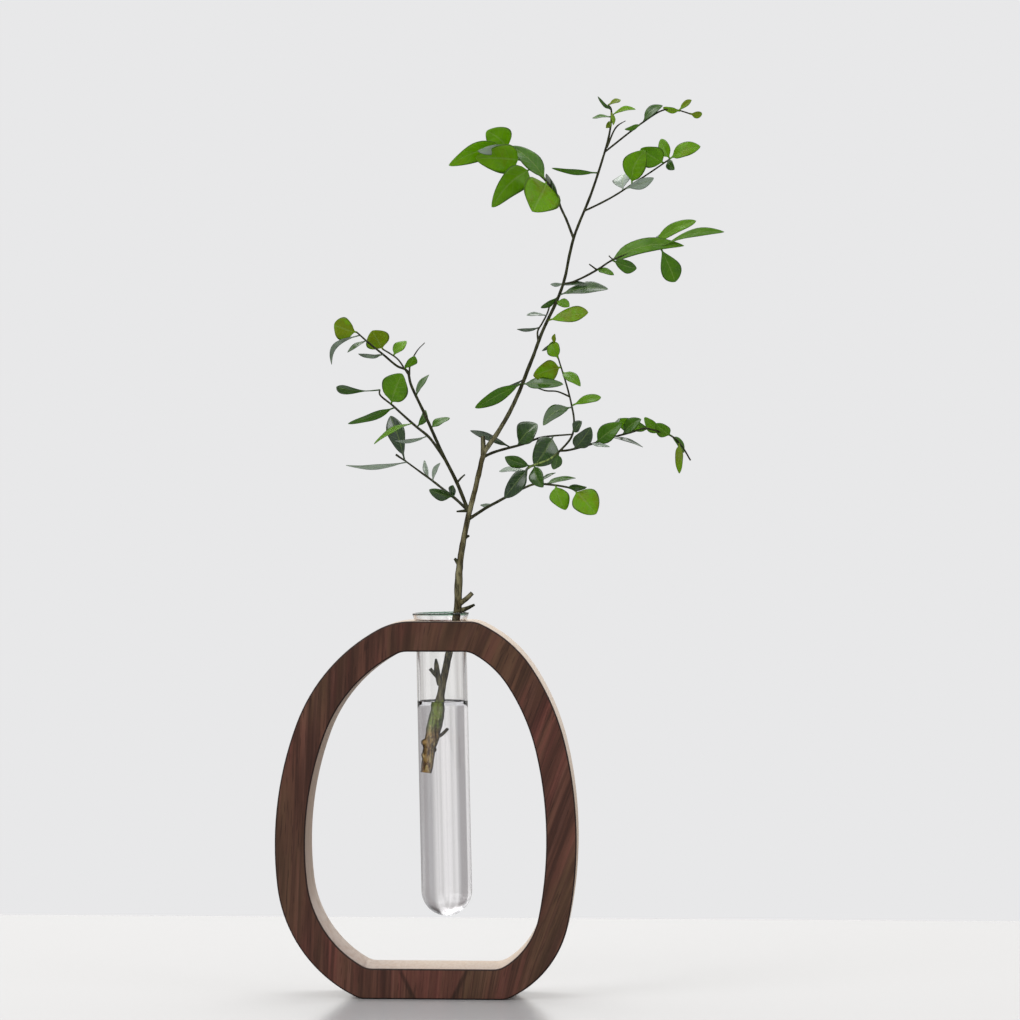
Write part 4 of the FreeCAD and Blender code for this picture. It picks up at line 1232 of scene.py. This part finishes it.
def leaf_grid(start, row, phase):
    """Lines across the blade: its outward direction, its middle points, half thickness and map places."""
    reach, width, turn, widest, sway = row[1:6]
    way, across, normal = leaf_axes(reach, turn)
    length = Vector(reach).length * SPRIG_HEIGHT
    grid = []
    for n in range(LENGTH_STEPS + 1):
        eased_share = 0.5 - 0.5 * math.cos(math.pi * n / LENGTH_STEPS)
        share = EVEN_STEPS * n / LENGTH_STEPS + (1 - EVEN_STEPS) * eased_share
        half = half_width(share, widest, width * SPRIG_HEIGHT)
        swing = math.sin(math.pi * share)
        middle = start + way * (share * length) + normal * (LEAF_ARCH * length * swing)
        middle += across * (sway * length * swing)
        blade = min(max((share - STALK_SHARE) / STALK_SHARE, 0.0), 1.0)
        thick = STALK_THICK + (BLADE_THICK - STALK_THICK) * blade
        line = []
        for m in range(WIDTH_STEPS + 1):
            u = 2 * m / WIDTH_STEPS - 1
            lift = LEAF_FOLD * abs(u) * half
            lift += EDGE_WAVE * half * u * u * math.sin(EDGE_WAVES * share + phase + u) * blade
            point = middle + across * (u * half) + normal * lift
            line.append((point, thick / 2 * (1 - EDGE_THINNING * u * u), ((u + 1) / 2, share)))
        grid.append(line)
    return normal, grid


def stitch(shape, uv, corners):
    """One face with its place on the map."""
    face = shape.faces.new([vert for vert, place in corners])
    face.smooth = True
    for loop, (vert, place) in zip(face.loops, corners):
        loop[uv].uv = place


def add_leaf(shape, uv, age_and_light_layer, under_layer, start, row, phase):
    """Builds one closed blade in the shape."""
    normal, grid = leaf_grid(start, row, phase)
    skins = []
    for sign in (1, -1):
        skin = []
        for line in grid:
            verts = []
            for point, thick, place in line:
                vert = shape.verts.new(point + normal * (thick * sign))
                vert[age_and_light_layer] = row[-1]
                vert[under_layer] = 0.0 if sign > 0 else 1.0
                verts.append((vert, place))
            skin.append(verts)
        skins.append(skin)
    top, low = skins
    for n in range(LENGTH_STEPS):
        for m in range(WIDTH_STEPS):
            stitch(shape, uv, (top[n][m], top[n][m + 1], top[n + 1][m + 1], top[n + 1][m]))
            stitch(shape, uv, (low[n][m], low[n + 1][m], low[n + 1][m + 1], low[n][m + 1]))
        stitch(shape, uv, (top[n][0], top[n + 1][0], low[n + 1][0], low[n][0]))
        stitch(shape, uv, (top[n][-1], low[n][-1], low[n + 1][-1], top[n + 1][-1]))
    for m in range(WIDTH_STEPS):
        stitch(shape, uv, (top[0][m], low[0][m], low[0][m + 1], top[0][m + 1]))
        stitch(shape, uv, (top[-1][m], top[-1][m + 1], low[-1][m + 1], low[-1][m]))


print("a leaf has", LENGTH_STEPS, "by", WIDTH_STEPS, "faces on each side")

# %% [markdown]
# A leaf's stalk starts at the middle of its twig, so it comes out of the bark with no gap.

# %% Leaves
def make_leaves(name, rows):
    """All the leaves of one twig as one piece."""
    route = twig_route(name)[0]
    shape = bmesh.new()
    uv = shape.loops.layers.uv.new("blade")
    age_and_light_layer = shape.verts.layers.float.new("age_and_light")
    under_layer = shape.verts.layers.float.new("under")
    for n, row in enumerate(rows):
        add_leaf(shape, uv, age_and_light_layer, under_layer, along(route, row[0]), row, LEAF_PHASE * n)
    bmesh.ops.recalc_face_normals(shape, faces=shape.faces)
    return keep_shape("blades_" + name, shape, LEAF)


for name, rows in LEAF_SHARES.items():
    finish_piece(make_leaves(name, rows), "sprig", "leaves_" + name)
print("grew", sum(len(rows) for rows in LEAF_SHARES.values()), "leaves")

# %% [markdown]
# ## The stage
# A pale glossy table top, cut off a little way behind the vase, so that its far edge lies low in the
# picture. The room is a soft light that is brightest behind, which is what makes glass, leaves and the
# sides of the board shine at their edges. The camera sees one plain pale tone there instead.

# %% Table top
TABLE_HALF_WIDTH = 0.90
TABLE_BACK = 0.31
TABLE_FRONT = -0.90
TABLE_WHITE = rgb(193, 193, 194)


def make_table():
    """A plain sheet under the vase."""
    corners = [(-TABLE_HALF_WIDTH, TABLE_FRONT, 0), (TABLE_HALF_WIDTH, TABLE_FRONT, 0),
               (TABLE_HALF_WIDTH, TABLE_BACK, 0), (-TABLE_HALF_WIDTH, TABLE_BACK, 0)]
    mesh = bpy.data.meshes.new("table_top")
    mesh.from_pydata(corners, [], [(0, 1, 2, 3)])
    material, _, shader = new_material("table_white")
    fill(shader, Base_Color=TABLE_WHITE, Roughness=0.16, Specular_IOR_Level=0.30)
    return link("table_top", mesh, material)


make_table()
print("table top reaches", TABLE_BACK, "m behind the vase")

# %% Room light
BACKDROP = rgb(232, 232, 233)
ROOM_FRONT = (0.52, 0.52, 0.53, 1.0)
ROOM_BACK = (0.92, 0.92, 0.92, 1.0)
CURTAIN_LIGHT = (0.84, 0.83, 0.82, 1.0)
CURTAIN_FOLD = (0.66, 0.65, 0.64, 1.0)
CURTAIN_GREY = (0.42, 0.41, 0.41, 1.0)
CEILING = (2.00, 2.00, 2.00, 1.0)
CEILING_DARK = (0.16, 0.16, 0.16, 1.0)
GLINT_LOW = (0.26, 0.25, 0.24, 1.0)
GLINT_HIGH = (1.15, 1.13, 1.10, 1.0)
RIGHT_GREY = 0.11
LEFT_GREY = -0.29
GREY_BLEND = 0.10
SIDE_WINDOW = -0.60
SIDE_BLEND = 0.05
FOLD_SCALE = (11.0, 1.5, 1.0)
PATCH_SCALE = (3.3, 3.75, 1.0)


def through_glass(x, z):
    """What clear things show: a curtain in soft folds, grey to both sides, and a patchy bright ceiling."""
    flat = result(x.tree, "ShaderNodeCombineXYZ", x, z)
    fold = streaks(flat, FOLD_SCALE, 0.40, 0.62, detail=2.0)
    patch = streaks(flat, PATCH_SCALE, 0.42, 0.58, detail=2.0)
    left = spread(x, LEFT_GREY - GREY_BLEND, LEFT_GREY, 1.0, 0.0)
    right = spread(x, RIGHT_GREY, RIGHT_GREY + GREY_BLEND)
    window = spread(x, SIDE_WINDOW - SIDE_BLEND, SIDE_WINDOW, 1.0, 0.0)
    overhead = mixed(spread(x, 0.02, 0.16), CEILING, CEILING_DARK)
    high = spread(z, 0.22, 0.45) * (patch * -0.7 + 1.0)
    return layered(CURTAIN_LIGHT, (fold, CURTAIN_FOLD), (step("MAXIMUM", left, right), CURTAIN_GREY),
                   (window, CURTAIN_LIGHT), (high, overhead))


def make_room():
    """A room that is bright behind the vase and softer in front, with its own look in glass and gloss."""
    world = bpy.data.worlds.new("studio")
    world.use_nodes = True
    tree = world.node_tree
    tree.nodes.clear()
    x, y, z = coordinates(tree, "Generated")
    behind = spread(y, -0.3, 0.6)
    shine = mixed(spread(z, -0.12, 0.05), GLINT_LOW, GLINT_HIGH)
    shine = layered(ROOM_FRONT, (behind, shine), (spread(z, 0.28, 0.50), CEILING))
    rays = add(tree, "ShaderNodeLightPath").outputs
    colour = layered(ROOM_FRONT, (behind, ROOM_BACK), (Value(rays["Is Glossy Ray"]), shine),
                     (Value(rays["Is Transmission Ray"]), through_glass(x, z)),
                     (Value(rays["Is Camera Ray"]), BACKDROP))
    add(tree, "ShaderNodeOutputWorld", result(tree, "ShaderNodeBackground", colour))
    bpy.context.scene.world = world


def soft_box(name, place, target, size, power):
    """A square area lamp turned to a target, left out of the camera's own view."""
    data = bpy.data.lights.new(name, "AREA")
    data.size = size
    data.energy = power
    lamp = link(name, data)
    lamp.location = place
    lamp.rotation_euler = (Vector(target) - Vector(place)).to_track_quat("-Z", "Y").to_euler()
    lamp.visible_camera = False
    lamp.visible_transmission = False


make_room()
soft_box("window_left", (-1.1, -0.9, 1.2), (0, 0, 0.2), 0.9, 11.0)
soft_box("window_right", (1.2, -0.7, 0.9), (0, 0, 0.2), 0.8, 3.5)
soft_box("window_top", (0.0, 0.4, 1.3), (0, 0, 0.1), 0.7, 6.0)
bpy.context.scene.view_settings.view_transform = "Standard"
